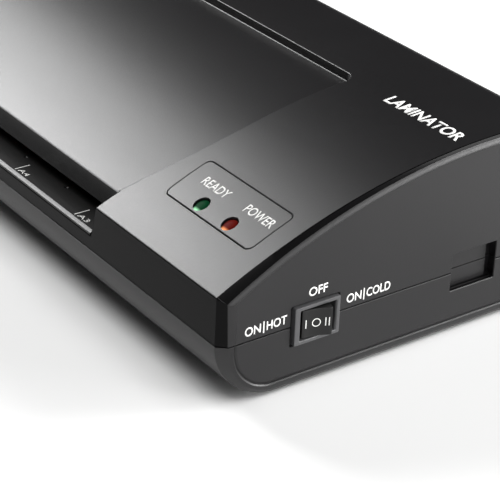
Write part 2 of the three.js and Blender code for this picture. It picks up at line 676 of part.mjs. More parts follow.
const FRONT_LOWER = [-ROLLER_Y, LOWER_Z];
const FRONT_UPPER = [-ROLLER_Y, UPPER_Z];
const REAR_LOWER = [ROLLER_Y, LOWER_Z];
const REAR_UPPER = [ROLLER_Y, UPPER_Z];
const DRIVE = [0, DRIVE_Z];
const PINION = [0, PINION_Z];
const FRONT_LOWER_PHASE = 0;
const FRONT_UPPER_PHASE = meshPhase(
  FRONT_LOWER, ROLLER_TEETH, FRONT_LOWER_PHASE, FRONT_UPPER, ROLLER_TEETH);
const DRIVE_PHASE = meshPhase(FRONT_LOWER, ROLLER_TEETH, FRONT_LOWER_PHASE, DRIVE, DRIVE_TEETH);
const REAR_LOWER_PHASE = meshPhase(DRIVE, DRIVE_TEETH, DRIVE_PHASE, REAR_LOWER, ROLLER_TEETH);
const REAR_UPPER_PHASE = meshPhase(REAR_LOWER, ROLLER_TEETH, REAR_LOWER_PHASE, REAR_UPPER, ROLLER_TEETH);
const PINION_PHASE = meshPhase(DRIVE, DRIVE_TEETH, DRIVE_PHASE, PINION, PINION_TEETH);

function driveAxle() {
  const end = GEAR_X - GEAR_WIDTH / 2 - 1.5;
  const pin = rod("x", end, -FRAME_X, [0, 0], AXLE_RADIUS, 16);
  const shoulder = rod("x", GEAR_X + GEAR_WIDTH / 2 + GAP, -FRAME_X - FRAME_THICKNESS - GAP, [0, 0],
    AXLE_RADIUS + 1.5, 16);
  return pin.add(shoulder);
}

function driveMotor() {
  const gearbox = rod("x", MOTOR_X - 10, MOTOR_X, [MOTOR_Y, MOTOR_Z], MOTOR_RADIUS, 28);
  const can = rod("x", MOTOR_X - MOTOR_LENGTH, MOTOR_X - 9, [MOTOR_Y, MOTOR_Z], MOTOR_RADIUS - 1.5, 28);
  const ears = POST_PLACES.map(([y, z]) => (
    block([MOTOR_X - 3, Math.min(y, MOTOR_Y) - (y < MOTOR_Y ? 3.5 : 0), z - 9],
      [MOTOR_X - 1, Math.max(y, MOTOR_Y) + (y > MOTOR_Y ? 3.5 : 0), z + 3.5])));
  const posts = POST_PLACES.map(([y, z]) => (
    rod("x", MOTOR_X - 2, -FRAME_X - FRAME_THICKNESS - GAP, [y, z], 2.4, 12)));
  const outputHole = rod("x", MOTOR_X - 6, MOTOR_X + 5, [PINION[0], PINION[1]], OUTPUT_RADIUS + GAP, 14);
  return join([gearbox, can, ...ears, ...posts]).subtract(outputHole);
}

function motorPinion() {
  const wheel = gear(PINION_TEETH, PINION_PHASE, 0);
  const shaft = rod("x", MOTOR_X - 5 - GEAR_X, 0, [0, 0], OUTPUT_RADIUS, 14);
  return wheel.add(shaft);
}

// ---- Outfeed, screws, feet and leads ----
function outfeedGuide() {
  const half = INFEED_HALF_WIDTH;
  const top = TRAY_Z;
  const outline = [
    [40.5, top - 1.6], [HALF_DEPTH - 0.6, top - 1], [HALF_DEPTH - 0.6, top], [43, top], [40.5, top - 0.8],
  ];
  const plate = alongX(outline, -half, half);
  const ribs = [];
  for (let column = -3; column <= 3; column += 1) {
    ribs.push(block([column * 48 - 1, 44, top - 5], [column * 48 + 1, HALF_DEPTH - WALL - 1, top - 0.8]));
  }
  return join([plate, ...ribs]);
}

function screw() {
  const headTop = FOOT_HEIGHT + COUNTERBORE_DEPTH - GAP;
  const head = rod("z", headTop - 1.8, headTop, [0, 0], SCREW_HEAD_RADIUS, 14);
  const shank = rod("z", headTop - 0.5, headTop + SCREW_LENGTH, [0, 0], SCREW_RADIUS, 10);
  const slots = [
    block([-1.8, -0.35, headTop - 2.5], [1.8, 0.35, headTop - 0.9]),
    block([-0.35, -1.8, headTop - 2.5], [0.35, 1.8, headTop - 0.9]),
  ];
  return cut(head.add(shank), slots);
}

function rubberFoot() {
  const outline = [
    new THREE.Vector2(0, 0),
    new THREE.Vector2(FOOT_RADIUS - 0.6, 0),
    new THREE.Vector2(FOOT_RADIUS, 0.6),
    new THREE.Vector2(FOOT_RADIUS, FOOT_HEIGHT - GAP),
    new THREE.Vector2(FOOT_PEG_RADIUS, FOOT_HEIGHT - GAP),
    new THREE.Vector2(FOOT_PEG_RADIUS, FOOT_HEIGHT + WALL + 1.5),
    new THREE.Vector2(0, FOOT_HEIGHT + WALL + 1.5),
  ];
  const geometry = new THREE.LatheGeometry(outline, 20);
  geometry.rotateX(Math.PI / 2);
  return solid(geometry);
}

// A round lead through hand-placed points.
function lead(points) {
  const path = new THREE.CatmullRomCurve3(points.map((point) => new THREE.Vector3(...point)));
  const ring = new THREE.Shape();
  ring.absarc(0, 0, 1, 0, 2 * Math.PI);
  return solid(new THREE.ExtrudeGeometry(
    ring, { steps: 14, curveSegments: 4, extrudePath: path, bevelEnabled: false }));
}

// ---- Finishes ----
const finishes = {
  casing: new THREE.MeshStandardMaterial({ color: 0x2b2a2c, roughness: 0.42, metalness: 0 }),
  tray: new THREE.MeshStandardMaterial({ color: 0x1c1c1d, roughness: 0.45, metalness: 0 }),
  gloss: new THREE.MeshStandardMaterial({ color: 0x161617, roughness: 0.3, metalness: 0 }),
  greenLens: new THREE.MeshStandardMaterial({ color: 0x1f7a3a, roughness: 0.2, metalness: 0 }),
  redLens: new THREE.MeshStandardMaterial({ color: 0xa82a18, roughness: 0.2, metalness: 0 }),
  circuit: new THREE.MeshStandardMaterial({ color: 0x2f6b3c, roughness: 0.6, metalness: 0 }),
  sheetSteel: new THREE.MeshStandardMaterial({ color: 0xa9acae, roughness: 0.45, metalness: 1 }),
  steel: new THREE.MeshStandardMaterial({ color: 0xbfc2c4, roughness: 0.25, metalness: 1 }),
  aluminium: new THREE.MeshStandardMaterial({ color: 0xc9cbcc, roughness: 0.4, metalness: 1 }),
  silicone: new THREE.MeshStandardMaterial({ color: 0xa4532a, roughness: 0.7, metalness: 0 }),
  nylon: new THREE.MeshStandardMaterial({ color: 0xe6e2d6, roughness: 0.55, metalness: 0 }),
  bush: new THREE.MeshStandardMaterial({ color: 0x7a5a2a, roughness: 0.6, metalness: 0 }),
  rubber: new THREE.MeshStandardMaterial({ color: 0x1a1a1a, roughness: 0.85, metalness: 0 }),
  wire: new THREE.MeshStandardMaterial({ color: 0xb02a20, roughness: 0.5, metalness: 0 }),
};

// ---- Assembly ----
const laminator = new THREE.Group();

function place(name, manifold, finish, position = [0, 0, 0], parent = laminator) {
  const mesh = new THREE.Mesh(geometryOf(manifold), finishes[finish]);
  mesh.name = name;
  mesh.position.set(...position);
  parent.add(mesh);
  return mesh;
}

place("top_cover", topCover(), "casing");
place("bottom_housing", bottomHousing(), "casing");
place("infeed_tray", infeedTray(), "tray");
place("outfeed_guide", outfeedGuide(), "tray");
place("indicator_panel", indicatorPanel(), "casing");
place("ready_led", statusLight(READY_LED_X), "greenLens");
place("power_led", statusLight(POWER_LED_X), "redLens");
place("led_board", ledBoard(), "circuit");
place("control_board", controlBoard(), "circuit");
place("switch_body", switchBody(), "gloss");
place("mains_inlet", mainsInlet(), "gloss");
place("led_lead", lead(LED_LEAD), "wire");
place("switch_lead", lead(SWITCH_LEAD), "wire");

// The rocker rests with its front half pressed in.
const rocker = new THREE.Mesh(rockerGeometry(), finishes.gloss);
rocker.name = "switch_rocker";
rocker.position.set(ROCKER_PIVOT_X, SWITCH_Y, PARTING_Z);
rocker.rotation.z = -SWITCH_TILT;
laminator.add(rocker);

[["left", -1], ["right", 1]].forEach(([name, side]) => {
  place(`${name}_side_frame`, sideFrame(side), "sheetSteel");
});
place("front_tie_bar", tieBar(-TIE_Y), "steel");
place("rear_tie_bar", tieBar(TIE_Y), "steel");

[["upper", 1], ["lower", -1]].forEach(([name, side]) => {
  place(`${name}_heating_plate`, heatingPlate(side), "aluminium");
  place(`${name}_heat_shield`, heatShield(side), "sheetSteel");
});
place("thermostat", thermostat(), "gloss");

const rollers = [
  ["front_lower", FRONT_LOWER, FRONT_LOWER_PHASE],
  ["front_upper", FRONT_UPPER, FRONT_UPPER_PHASE],
  ["rear_lower", REAR_LOWER, REAR_LOWER_PHASE],
  ["rear_upper", REAR_UPPER, REAR_UPPER_PHASE],
];
rollers.forEach(([name, [y, z], phase]) => {
  const roller = new THREE.Group();
  roller.position.set(0, y, z);
  laminator.add(roller);
  place(`${name}_shaft`, rollerShaft(), "steel", [0, 0, 0], roller);
  place(`${name}_sleeve`, rollerSleeve(), "silicone", [0, 0, 0], roller);
  place(`${name}_gear`, gear(ROLLER_TEETH, phase, SHAFT_RADIUS + 0.15), "nylon", [GEAR_X, 0, 0], roller);
  const bush = name.endsWith("upper") ? upperBush : lowerBush;
  place(`${name}_left_bush`, bush(-1), "bush", [0, 0, 0], roller);
  place(`${name}_right_bush`, bush(1), "bush", [0, 0, 0], roller);
});

const springX = FRAME_X + FRAME_THICKNESS / 2;
const springZ = UPPER_Z + BUSH_BLOCK / 2;
["front", "rear"].forEach((row, index) => {
  const y = index === 0 ? -ROLLER_Y : ROLLER_Y;
  place(`${row}_left_spring`, pressureSpring(), "steel", [-springX, y, springZ]);
  place(`${row}_right_spring`, pressureSpring(), "steel", [springX, y, springZ]);
});

place("drive_gear", gear(DRIVE_TEETH, DRIVE_PHASE, AXLE_RADIUS + 0.15), "nylon", [GEAR_X, ...DRIVE]);
place("drive_gear_axle", driveAxle(), "steel", [0, ...DRIVE]);
place("drive_motor", driveMotor(), "sheetSteel");
place("motor_pinion", motorPinion(), "nylon", [GEAR_X, ...PINION]);

SCREW_PLACES.forEach(([x, y], index) => {
  place(`casing_screw_${index + 1}`, screw(), "steel", [x, y, 0]);
});
FOOT_PLACES.forEach(([x, y], index) => {
  place(`foot_${index + 1}`, rubberFoot(), "rubber", [x, y, 0]);
});

export default laminator;
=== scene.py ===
"""Pouch laminator: the looks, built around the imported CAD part. Lengths are in millimetres unless said."""

import json
from math import acos, cos, hypot, pi, radians, sin, sqrt

import bmesh
import bpy
from mathutils import Matrix, Vector

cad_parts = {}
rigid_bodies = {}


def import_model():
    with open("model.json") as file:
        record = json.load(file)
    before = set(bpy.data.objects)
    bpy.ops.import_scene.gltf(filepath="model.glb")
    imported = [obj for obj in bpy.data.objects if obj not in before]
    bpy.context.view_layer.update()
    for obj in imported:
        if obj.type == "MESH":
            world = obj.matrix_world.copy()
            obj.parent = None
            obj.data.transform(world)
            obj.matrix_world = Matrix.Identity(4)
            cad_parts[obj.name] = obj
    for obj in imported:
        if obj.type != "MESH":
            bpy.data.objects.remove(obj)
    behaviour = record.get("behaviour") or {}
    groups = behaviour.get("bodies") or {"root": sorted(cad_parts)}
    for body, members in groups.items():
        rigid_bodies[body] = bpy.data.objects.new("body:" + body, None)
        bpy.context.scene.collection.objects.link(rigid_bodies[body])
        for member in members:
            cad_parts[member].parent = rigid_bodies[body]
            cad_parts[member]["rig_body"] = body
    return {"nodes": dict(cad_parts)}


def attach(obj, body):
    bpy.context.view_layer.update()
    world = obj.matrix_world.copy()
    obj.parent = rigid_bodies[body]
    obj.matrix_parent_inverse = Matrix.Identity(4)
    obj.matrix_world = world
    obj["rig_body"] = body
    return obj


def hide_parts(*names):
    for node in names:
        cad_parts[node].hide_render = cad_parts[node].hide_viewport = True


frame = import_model()
for obj in list(bpy.context.scene.objects):
    if "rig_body" not in obj and not obj.name.startswith("body:"):
        bpy.data.objects.remove(obj)
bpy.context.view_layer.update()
MM = 0.001

# ---- Sizes that the CAD part has too ----
HALF_WIDTH = 244.0
HALF_DEPTH = 73.0
HEIGHT = 75.4
FOOT_HEIGHT = 2.0
WALL = 2.5
GAP = 0.3
ARCH_RADIUS = 248.0
CREST_Y = 48.0
PARTING_Z = 25.4
REAR_BOTTOM_RADIUS = 9.0
REAR_TOP_RADIUS = 8.0
FRONT_EDGE_RADIUS = 0.9
INFEED_HALF = 162.3
INFEED_FLARE = 0.28
SLOT_HEIGHT = 5.0
TRAY_Z = 32.7
TRAY_THICKNESS = 1.6
TRAY_REAR_Y = -41.0
MOUTH_Y = -63.1
MOUTH_LEAN = 0.13
RECESS_FRONT_Y = -64.4
RECESS_BACK_Y = 32.0
RECESS_DEPTH = 3.4
RECESS_CORNER = 5.0
LABEL_X, LABEL_Y = 207.8, -45.8
LABEL_WIDTH, LABEL_LENGTH, LABEL_CORNER = 50.5, 19.1, 2.5
LABEL_THICKNESS = 1.6
LED_Y = -51.3
LED_X = {"ready": 199.7, "power": 216.6}
LED_RADIUS = 2.9
SWITCH_Y = -33.3
SWITCH_HALF_Y, SWITCH_HALF_Z = 10.3, 7.4
SWITCH_TILT = radians(16.5)
POCKET_Y = 36.9
INLET_X, INLET_Z = 200.0, 14.0
INLET_HALF_X, INLET_HALF_Z = 10.0, 6.0
SCREWS = ((228, -8), (228, 57), (-228, -8), (-228, 57))
FEET = ((208, -50), (208, 54), (-208, -50), (-208, 54))
SCREW_RADIUS = 1.5
SCREW_HEAD_RADIUS = 3.0
COUNTERBORE_DEPTH = 2.6
FOOT_RADIUS = 7.0
FOOT_PEG_RADIUS = 2.0
ARCH_CENTRE_Z = HEIGHT - ARCH_RADIUS

# ---- Camera and stage ----
CAMERA_PLACE = (0.6860, -0.3884, 0.3578)
CAMERA_YAW, CAMERA_PITCH, CAMERA_ROLL = radians(-53.61), radians(28.44), radians(2.27)
CAMERA_LENS = 139.68


def build_camera():
    flat = cos(CAMERA_PITCH)
    ahead = Vector((sin(CAMERA_YAW) * flat, cos(CAMERA_YAW) * flat, -sin(CAMERA_PITCH)))
    level = Vector((cos(CAMERA_YAW), -sin(CAMERA_YAW), 0))
    above = level.cross(ahead)
    right = cos(CAMERA_ROLL) * level + sin(CAMERA_ROLL) * above
    up = -sin(CAMERA_ROLL) * level + cos(CAMERA_ROLL) * above
    data = bpy.data.cameras.new("camera")
    data.sensor_width = 36
    data.lens = CAMERA_LENS
    data.clip_start, data.clip_end = 0.02, 60
    camera = bpy.data.objects.new("camera", data)
    turn = Matrix((right, up, -ahead)).transposed().to_4x4()
    camera.matrix_world = Matrix.Translation(CAMERA_PLACE) @ turn
    bpy.context.scene.collection.objects.link(camera)
    bpy.context.scene.camera = camera


# Softboxes on a dome round the part: name, azimuth and elevation in degrees, width, height and watts.
# Azimuth 0 is beyond the end with the switch, and 90 is behind the part.
LIGHT_DISTANCE = 2.4
LIGHT_AIM = (0.05, 0, 0.05)
LIGHTS = (
    ("low_right", 45, 10, 1.7, 0.7, 52),
    ("right_back", 67.5, 30, 1.5, 1.0, 54),
    ("right", 0, 52, 1.5, 1.2, 26),
    ("side", 0, 10, 1.7, 0.7, 12),
    ("left_front", 196, 38, 0.8, 0.7, 42),
    ("left", 178, 38, 0.8, 0.7, 24),
)
WORLD_STRENGTH = 0.02


def area_light(name, azimuth, elevation, width, height, power):
    data = bpy.data.lights.new(name, "AREA")
    data.shape = "RECTANGLE"
    data.size, data.size_y = width, height
    data.energy = power
    flat = cos(radians(elevation))
    place = Vector((cos(radians(azimuth)) * flat, sin(radians(azimuth)) * flat, sin(radians(elevation))))
    light = bpy.data.objects.new(name, data)
    light.location = place * LIGHT_DISTANCE
    light.rotation_euler = (Vector(LIGHT_AIM) - light.location).to_track_quat("-Z", "Y").to_euler()
    bpy.context.scene.collection.objects.link(light)


build_camera()
bpy.context.scene.view_settings.view_transform = "Standard"

# ---- Mesh helpers ----


def new_mesh(name, points, faces):
    """A mesh object in millimetres; finish_piece turns it into metres."""
    mesh = bpy.data.meshes.new(name)
    mesh.from_pydata([tuple(p) for p in points], [], faces)
    obj = bpy.data.objects.new(name, mesh)
    bpy.context.scene.collection.objects.link(obj)
    clean(obj)
    return obj


def clean(obj, distance=1e-4):
    work = bmesh.new()
    work.from_mesh(obj.data)
    bmesh.ops.remove_doubles(work, verts=work.verts, dist=distance)
    bmesh.ops.dissolve_degenerate(work, edges=work.edges, dist=distance)
    bmesh.ops.recalc_face_normals(work, faces=work.faces)
    work.to_mesh(obj.data)
    work.free()


def discard(obj):
    mesh = obj.data
    bpy.data.objects.remove(obj)
    bpy.data.meshes.remove(mesh)


def combine(target, tool, operation="DIFFERENCE"):
    """Cuts, joins or intersects two solids, and uses the tool up."""
    modifier = target.modifiers.new("combine", "BOOLEAN")
    modifier.operation = operation
    modifier.solver = "MANIFOLD"
    modifier.object = tool
    graph = bpy.context.evaluated_depsgraph_get()
    result = bpy.data.meshes.new_from_object(target.evaluated_get(graph))
    target.modifiers.clear()
    old = target.data
    target.data = result
    bpy.data.meshes.remove(old)
    discard(tool)
    if not len(result.polygons):
        raise RuntimeError(f"{operation} left nothing of {target.name}")


def side_faces(rings):
    count = len(rings[0])
    faces = []
    for base in range(0, (len(rings) - 1) * count, count):
        for i in range(count):
            j = (i + 1) % count
            faces.append((base + i, base + j, base + count + j, base + count + i))
    return faces


def loft(name, rings):
    """A closed mesh through rings of equal length, with a flat face on the first and last."""
    count = len(rings[0])
    faces = side_faces(rings)
    faces.append(tuple(range(count - 1, -1, -1)))
    faces.append(tuple((len(rings) - 1) * count + i for i in range(count)))
    return new_mesh(name, [p for ring in rings for p in ring], faces)


def strip_loft(name, rings):
    """As loft, but strips between a ring's first half and its mirrored second half close each end."""
    count = len(rings[0])
    faces = side_faces(rings)
    for base in (0, (len(rings) - 1) * count):
        for i in range(count // 2 - 1):
            faces.append((base + i, base + i + 1, base + count - 2 - i, base + count - 1 - i))
    return new_mesh(name, [p for ring in rings for p in ring], faces)


def prism(name, outline, axis, start, end):
    """A 2-D outline drawn along an axis. The outline is (y, z) for x and (x, y) for z."""
    if axis == "x":
        return loft(name, [[(x, y, z) for y, z in outline] for x in (start, end)])
    return loft(name, [[(x, y, z) for x, y in outline] for z in (start, end)])


def block(name, low, high):
    outline = [(low[0], low[1]), (high[0], low[1]), (high[0], high[1]), (low[0], high[1])]
    return prism(name, outline, "z", low[2], high[2])


def lathe(name, profile, centre, axis="z", sides=48):
    """A turned shape with flat ends: profile is (radius, height) along the axis, which is y or z."""
    rings = []
    for radius, height in profile:
        ring = []
        for i in range(sides):
            across, up = radius * cos(2 * pi * i / sides), radius * sin(2 * pi * i / sides)
            offset = (across, up, height) if axis == "z" else (across, height, up)
            ring.append(tuple(c + o for c, o in zip(centre, offset)))
        rings.append(ring)
    return loft(name, rings)


def rod(name, x, y, radius, low, high, sides=24):
    return lathe(name, [(radius, low), (radius, high)], (x, y, 0), sides=sides)


def rounded_rectangle(half_a, half_b, corner, steps=6, centre=(0, 0)):
    points = []
    for quarter, (sa, sb) in enumerate(((1, 1), (-1, 1), (-1, -1), (1, -1))):
        for i in range(steps + 1):
            angle = pi / 2 * (quarter + i / steps)
            points.append((centre[0] + sa * (half_a - corner) + corner * cos(angle),
                           centre[1] + sb * (half_b - corner) + corner * sin(angle)))
    return points


def interpolate(value, places, amounts):
    if value <= places[0]:
        return amounts[0]
    for i in range(len(places) - 1):
        if value <= places[i + 1]:
            share = (value - places[i]) / (places[i + 1] - places[i])
            return amounts[i] + share * (amounts[i + 1] - amounts[i])
    return amounts[-1]


# ---- The casing's side outline ----


def arch_z(y, drop=0.0):
    return ARCH_CENTRE_Z + sqrt((ARCH_RADIUS - drop) ** 2 - (y - CREST_Y) ** 2)


def arc(centre_y, centre_z, radius, start, end, steps):
    """Points and outward normals along an arc in the (y, z) plane, angles in radians."""
    found = []
    for i in range(steps + 1):
        angle = start + (end - start) * i / steps
        y, z = cos(angle), sin(angle)
        found.append((centre_y + radius * y, centre_z + radius * z, y, z))
    return found


# The front lower corner is one arc from the parting line to the floor. The CAD part's is smaller.
FRONT_BOTTOM_RADIUS = PARTING_Z - FOOT_HEIGHT
# The edge between the outer surface and each end has a chamfer, and inside it a rim round the end panel.
# Their widths change along the arch (by y) and round the front lower corner (by degrees turned).
CHAMFER_PLACES = (-73, -47, -21, 20, 65)
CHAMFER_SIZES = (3.3, 2.3, 1.85, 1.4, 1.4)
REAR_CHAMFER = 1.6
FRONT_CHAMFER = 3.2
FRONT_CHAMFER_TOP = 2.9
FRONT_STRIP_Z = 34.0
BOTTOM_CHAMFER = 1.2
ARCH_RIM, FRONT_RIM, BOTTOM_RIM = 1.9, 2.9, 3.6
CORNER_TURNS = (0, 16, 32, 49, 63, 80, 90)
CORNER_CHAMFERS = (3.5, 3.5, 3.0, 2.35, 1.9, 1.35, BOTTOM_CHAMFER)
CORNER_RIMS = (3.1, 2.6, 2.4, 2.6, 2.7, 3.2, BOTTOM_RIM)


def side_outline():
    """The outline from the right, anticlockwise: (y, z, normal y, normal z, end chamfer, rim, part)."""
    edge_y = -HALF_DEPTH + FRONT_EDGE_RADIUS
    edge_angle = acos((edge_y - CREST_Y) / (ARCH_RADIUS - FRONT_EDGE_RADIUS))
    edge_z = ARCH_CENTRE_Z + (ARCH_RADIUS - FRONT_EDGE_RADIUS) * sin(edge_angle)
    rear_y = HALF_DEPTH - REAR_TOP_RADIUS
    rear_angle = acos((rear_y - CREST_Y) / (ARCH_RADIUS - REAR_TOP_RADIUS))
    rear_z = ARCH_CENTRE_Z + (ARCH_RADIUS - REAR_TOP_RADIUS) * sin(rear_angle)
    outline = []
    low_y, low_z = HALF_DEPTH - REAR_BOTTOM_RADIUS, FOOT_HEIGHT + REAR_BOTTOM_RADIUS
    for i, p in enumerate(arc(low_y, low_z, REAR_BOTTOM_RADIUS, -pi / 2, 0, 8)):
        chamfer = BOTTOM_CHAMFER + (REAR_CHAMFER - BOTTOM_CHAMFER) * i / 8
        outline.append((*p, chamfer, BOTTOM_RIM + (ARCH_RIM - BOTTOM_RIM) * i / 8, "rear"))
    for i, p in enumerate(arc(rear_y, rear_z, REAR_TOP_RADIUS, 0, rear_angle, 10)):
        chamfer = REAR_CHAMFER + (CHAMFER_SIZES[-1] - REAR_CHAMFER) * i / 10
        outline.append((*p, chamfer, ARCH_RIM, "rear"))
    for p in arc(CREST_Y, ARCH_CENTRE_Z, ARCH_RADIUS, rear_angle, edge_angle, 64)[1:]:
        outline.append((*p, interpolate(p[0], CHAMFER_PLACES, CHAMFER_SIZES), ARCH_RIM, "arch"))
    for p in arc(edge_y, edge_z, FRONT_EDGE_RADIUS, edge_angle, pi, 4)[1:]:
        outline.append((*p, FRONT_CHAMFER, FRONT_RIM, "edge"))
    outline.append((-HALF_DEPTH, FRONT_STRIP_Z, -1.0, 0.0, FRONT_CHAMFER, FRONT_RIM, "front"))
    corner_y = -HALF_DEPTH + FRONT_BOTTOM_RADIUS
    for i, p in enumerate(arc(corner_y, PARTING_Z, FRONT_BOTTOM_RADIUS, pi, 1.5 * pi, 24)):
        turn = 90 * i / 24
        chamfer = interpolate(turn, CORNER_TURNS, CORNER_CHAMFERS)
        outline.append((*p, chamfer, interpolate(turn, CORNER_TURNS, CORNER_RIMS), "front"))
    return outline


OUTLINE = side_outline()


def inset_outline(amount):
    """The outline pulled in by amount(chamfer, rim), with a clean corner at the top of the front."""
    front = -HALF_DEPTH + amount(FRONT_CHAMFER_TOP, FRONT_RIM)
    corner = (front, arch_z(front, amount(CHAMFER_SIZES[0], ARCH_RIM)))
    found = []
    for y, z, normal_y, normal_z, chamfer, rim, part in OUTLINE:
        in_by = amount(chamfer, rim)
        place = (y - normal_y * in_by, z - normal_z * in_by)
        if in_by > 0.5 and (part == "edge" or (part == "arch" and place[0] < front)):
            place = corner
        elif in_by > 0.5 and part == "front" and place[1] > corner[1]:
            place = corner
        found.append(place)
    return found


def end_rings(side, levels):
    """Rings across one end. Each level is (in from the end, inset), as functions of the chamfer and rim."""
    rings = []
    for back, amount in levels:
        ring = []
        for (y, z), point in zip(inset_outline(amount), OUTLINE):
            ring.append((side * (HALF_WIDTH - back(point[4], point[5])), y, z))
        rings.append(ring)
    return rings


PANEL_DROP = 0.2
SOFT = 0.22  # half the width of the rounding on each edge of the chamfer


def rim_drop(rim):
    """How far the rim falls back at its outer edge: more along the arch than down the front."""
    return interpolate(rim, (ARCH_RIM, FRONT_RIM), (0.6, 0.4))


def panel_level(back, past):
    """A ring near the edge of the end panel: back from the end, and past the inner edge of the rim."""
    return (lambda c, r: back, lambda c, r: c + r + past)


# Rings from the chamfer inwards. Each is (in from the end, inset), from the chamfer c and the rim r.
CHAMFER_LEVELS = [
    (lambda c, r: c + SOFT, lambda c, r: 0.0),
    (lambda c, r: c - SOFT * 0.7, lambda c, r: SOFT * 0.7),
    (lambda c, r: rim_drop(r) + SOFT, lambda c, r: c - SOFT),
    (lambda c, r: rim_drop(r) - 0.05, lambda c, r: c + SOFT * 0.6),
]
COVER_LEVELS = [
    (lambda c, r: rim_drop(r) * 0.38, lambda c, r: c + r * 0.45),
    panel_level(0.02, -0.3), panel_level(0.03, -0.12), panel_level(PANEL_DROP, 0.1),
]
# On the housing a groove runs between the rim and the panel, whose edge is rounded.
HOUSING_LEVELS = [
    (lambda c, r: 0.12, lambda c, r: c + (r - 1.1) * 0.6),
    panel_level(0.0, -1.4), panel_level(0.04, -1.3), panel_level(0.32, -0.92), panel_level(0.7, -0.8),
    panel_level(0.7, -0.47), panel_level(0.52, -0.3), panel_level(PANEL_DROP + 0.15, -0.02),
    panel_level(PANEL_DROP + 0.04, 0.25), panel_level(PANEL_DROP, 0.5),
]


def casing_solid(name, end_levels):
    levels = CHAMFER_LEVELS + end_levels
    return loft(name, end_rings(-1, levels)[::-1] + end_rings(1, levels))


def cavity_solid():
    level = [(lambda c, r: WALL + 0.8, lambda c, r: WALL)]
    return loft("cavity", end_rings(-1, level) + end_rings(1, level))


# ---- Cutters ----
SKY = 120.0  # any height well above the part, where a cutter ends
FRONT_AIR = -95.0  # any y well before the front


def surface_rings(half_outline, levels, centre_x=0.0):
    """Rings for a cutter that follows the arch. half_outline is (x from the centre, y) front to back on the
    right, and each level is (outward offset, height as a function of y)."""
    count = len(half_outline)
    normals = []
    for i in range(count):
        a = half_outline[max(i - 1, 0)]
        b = half_outline[min(i + 1, count - 1)]
        dx, dy = b[0] - a[0], b[1] - a[1]
        size = hypot(dx, dy)
        normals.append((dy / size, -dx / size))
    rings = []
    for offset, height in levels:
        right = []
        for (x, y), (normal_x, normal_y) in zip(half_outline, normals):
            out_y = y + normal_y * offset
            right.append((x + normal_x * offset, out_y, height(out_y)))
        ring = [(centre_x + x, y, z) for x, y, z in right]
        ring += [(centre_x - x, y, z) for x, y, z in reversed(right)]
        rings.append(ring)
    return rings


def smooth_half_outline(stations, steps):
    """A smooth line through (y, x) stations, as (x, y) points."""
    found = []
    for i in range(len(stations) - 1):
        y0, x0 = stations[max(i - 1, 0)]
        y1, x1 = stations[i]
        y2, x2 = stations[i + 1]
        y3, x3 = stations[min(i + 2, len(stations) - 1)]
        slope_1 = (x2 - x0) / (y2 - y0)
        slope_2 = (x3 - x1) / (y3 - y1)
        span = y2 - y1
        for k in range(steps):
            t = k / steps
            x = ((2 * t**3 - 3 * t**2 + 1) * x1 + (t**3 - 2 * t**2 + t) * span * slope_1
                 + (-2 * t**3 + 3 * t**2) * x2 + (t**3 - t**2) * span * slope_2)
            found.append((x, y1 + span * t))
    return found


RECESS_STATIONS = ((-72, 163.0), (-64.4, 166.3), (-58, 168.6), (-53, 170.2), (-43, 173.1), (-36, 174.7),
                   (-28, 175.9), (-19, 176.7), (-10, 177.0), (5, 177.0), (27.0, 177.0))


def recess_outline():
    points = smooth_half_outline(RECESS_STATIONS, 4)
    centre_y = RECESS_BACK_Y - RECESS_CORNER
    centre_x = RECESS_STATIONS[-1][1] - RECESS_CORNER
    for i in range(9):
        angle = pi / 2 * i / 8
        points.append((centre_x + RECESS_CORNER * cos(angle), centre_y + RECESS_CORNER * sin(angle)))
    return points


def recess_depth(y):
    return max(0.12, 0.12 + RECESS_DEPTH * (y - RECESS_FRONT_Y) / (RECESS_BACK_Y - RECESS_FRONT_Y))


def recess_clearance():
    """Room for the cover's wall under and round the recess."""
    rings = surface_rings(recess_outline(), [
        (WALL, lambda y: arch_z(y) - recess_depth(y) - WALL - 0.2),
        (WALL, lambda y: SKY),
    ])
    return strip_loft("cut", rings)


def recess_cutter():
    """The recess, with a soft edge that fades out with the depth towards the front."""
    def share(y):
        return min(1, recess_depth(y) / 0.9)

    rings = surface_rings(recess_outline(), [
        (-0.35, lambda y: arch_z(y) - recess_depth(y)),
        (-0.08, lambda y: arch_z(y) - recess_depth(y) + 0.25 * share(y)),
        (0.0, lambda y: arch_z(y) - 0.45 * share(y)),
        (0.1, lambda y: arch_z(y) - 0.22 * share(y)),
        (0.27, lambda y: arch_z(y) - 0.08 * share(y)),
        (0.55, lambda y: arch_z(y) + 0.02),
        (0.55, lambda y: SKY),
    ])
    return strip_loft("cut", rings)


def rounded_half(half_x, half_y, corner, centre_y, steps=6, pieces=8):
    """The right half of a rounded rectangle, front to back, with the straight side divided up."""
    points = []
    inner_x = half_x - corner
    front, back = centre_y - half_y + corner, centre_y + half_y - corner
    for i in range(steps + 1):
        angle = -pi / 2 + pi / 2 * i / steps
        points.append((inner_x + corner * cos(angle), front + corner * sin(angle)))
    for i in range(1, pieces):
        points.append((half_x, front + (back - front) * i / pieces))
    for i in range(steps + 1):
        angle = pi / 2 * i / steps
        points.append((inner_x + corner * cos(angle), back + corner * sin(angle)))
    return points


def mouth_y(z):
    return MOUTH_Y - MOUTH_LEAN * (z - TRAY_Z - SLOT_HEIGHT)


def notch_half(z):
    return INFEED_HALF + INFEED_FLARE * (z - TRAY_Z)


def mirrored_ring(right):
    return right + [(-x, y, z) for x, y, z in reversed(right)]


def notch_clearance():
    """Room for the cover's wall round the infeed notch."""
    rings = []
    for z in (TRAY_Z + SLOT_HEIGHT, SKY):
        half = notch_half(z) + WALL
        rings.append(mirrored_ring([(half, FRONT_AIR, z), (half, mouth_y(z) + WALL, z)]))
    return loft("cut", rings)


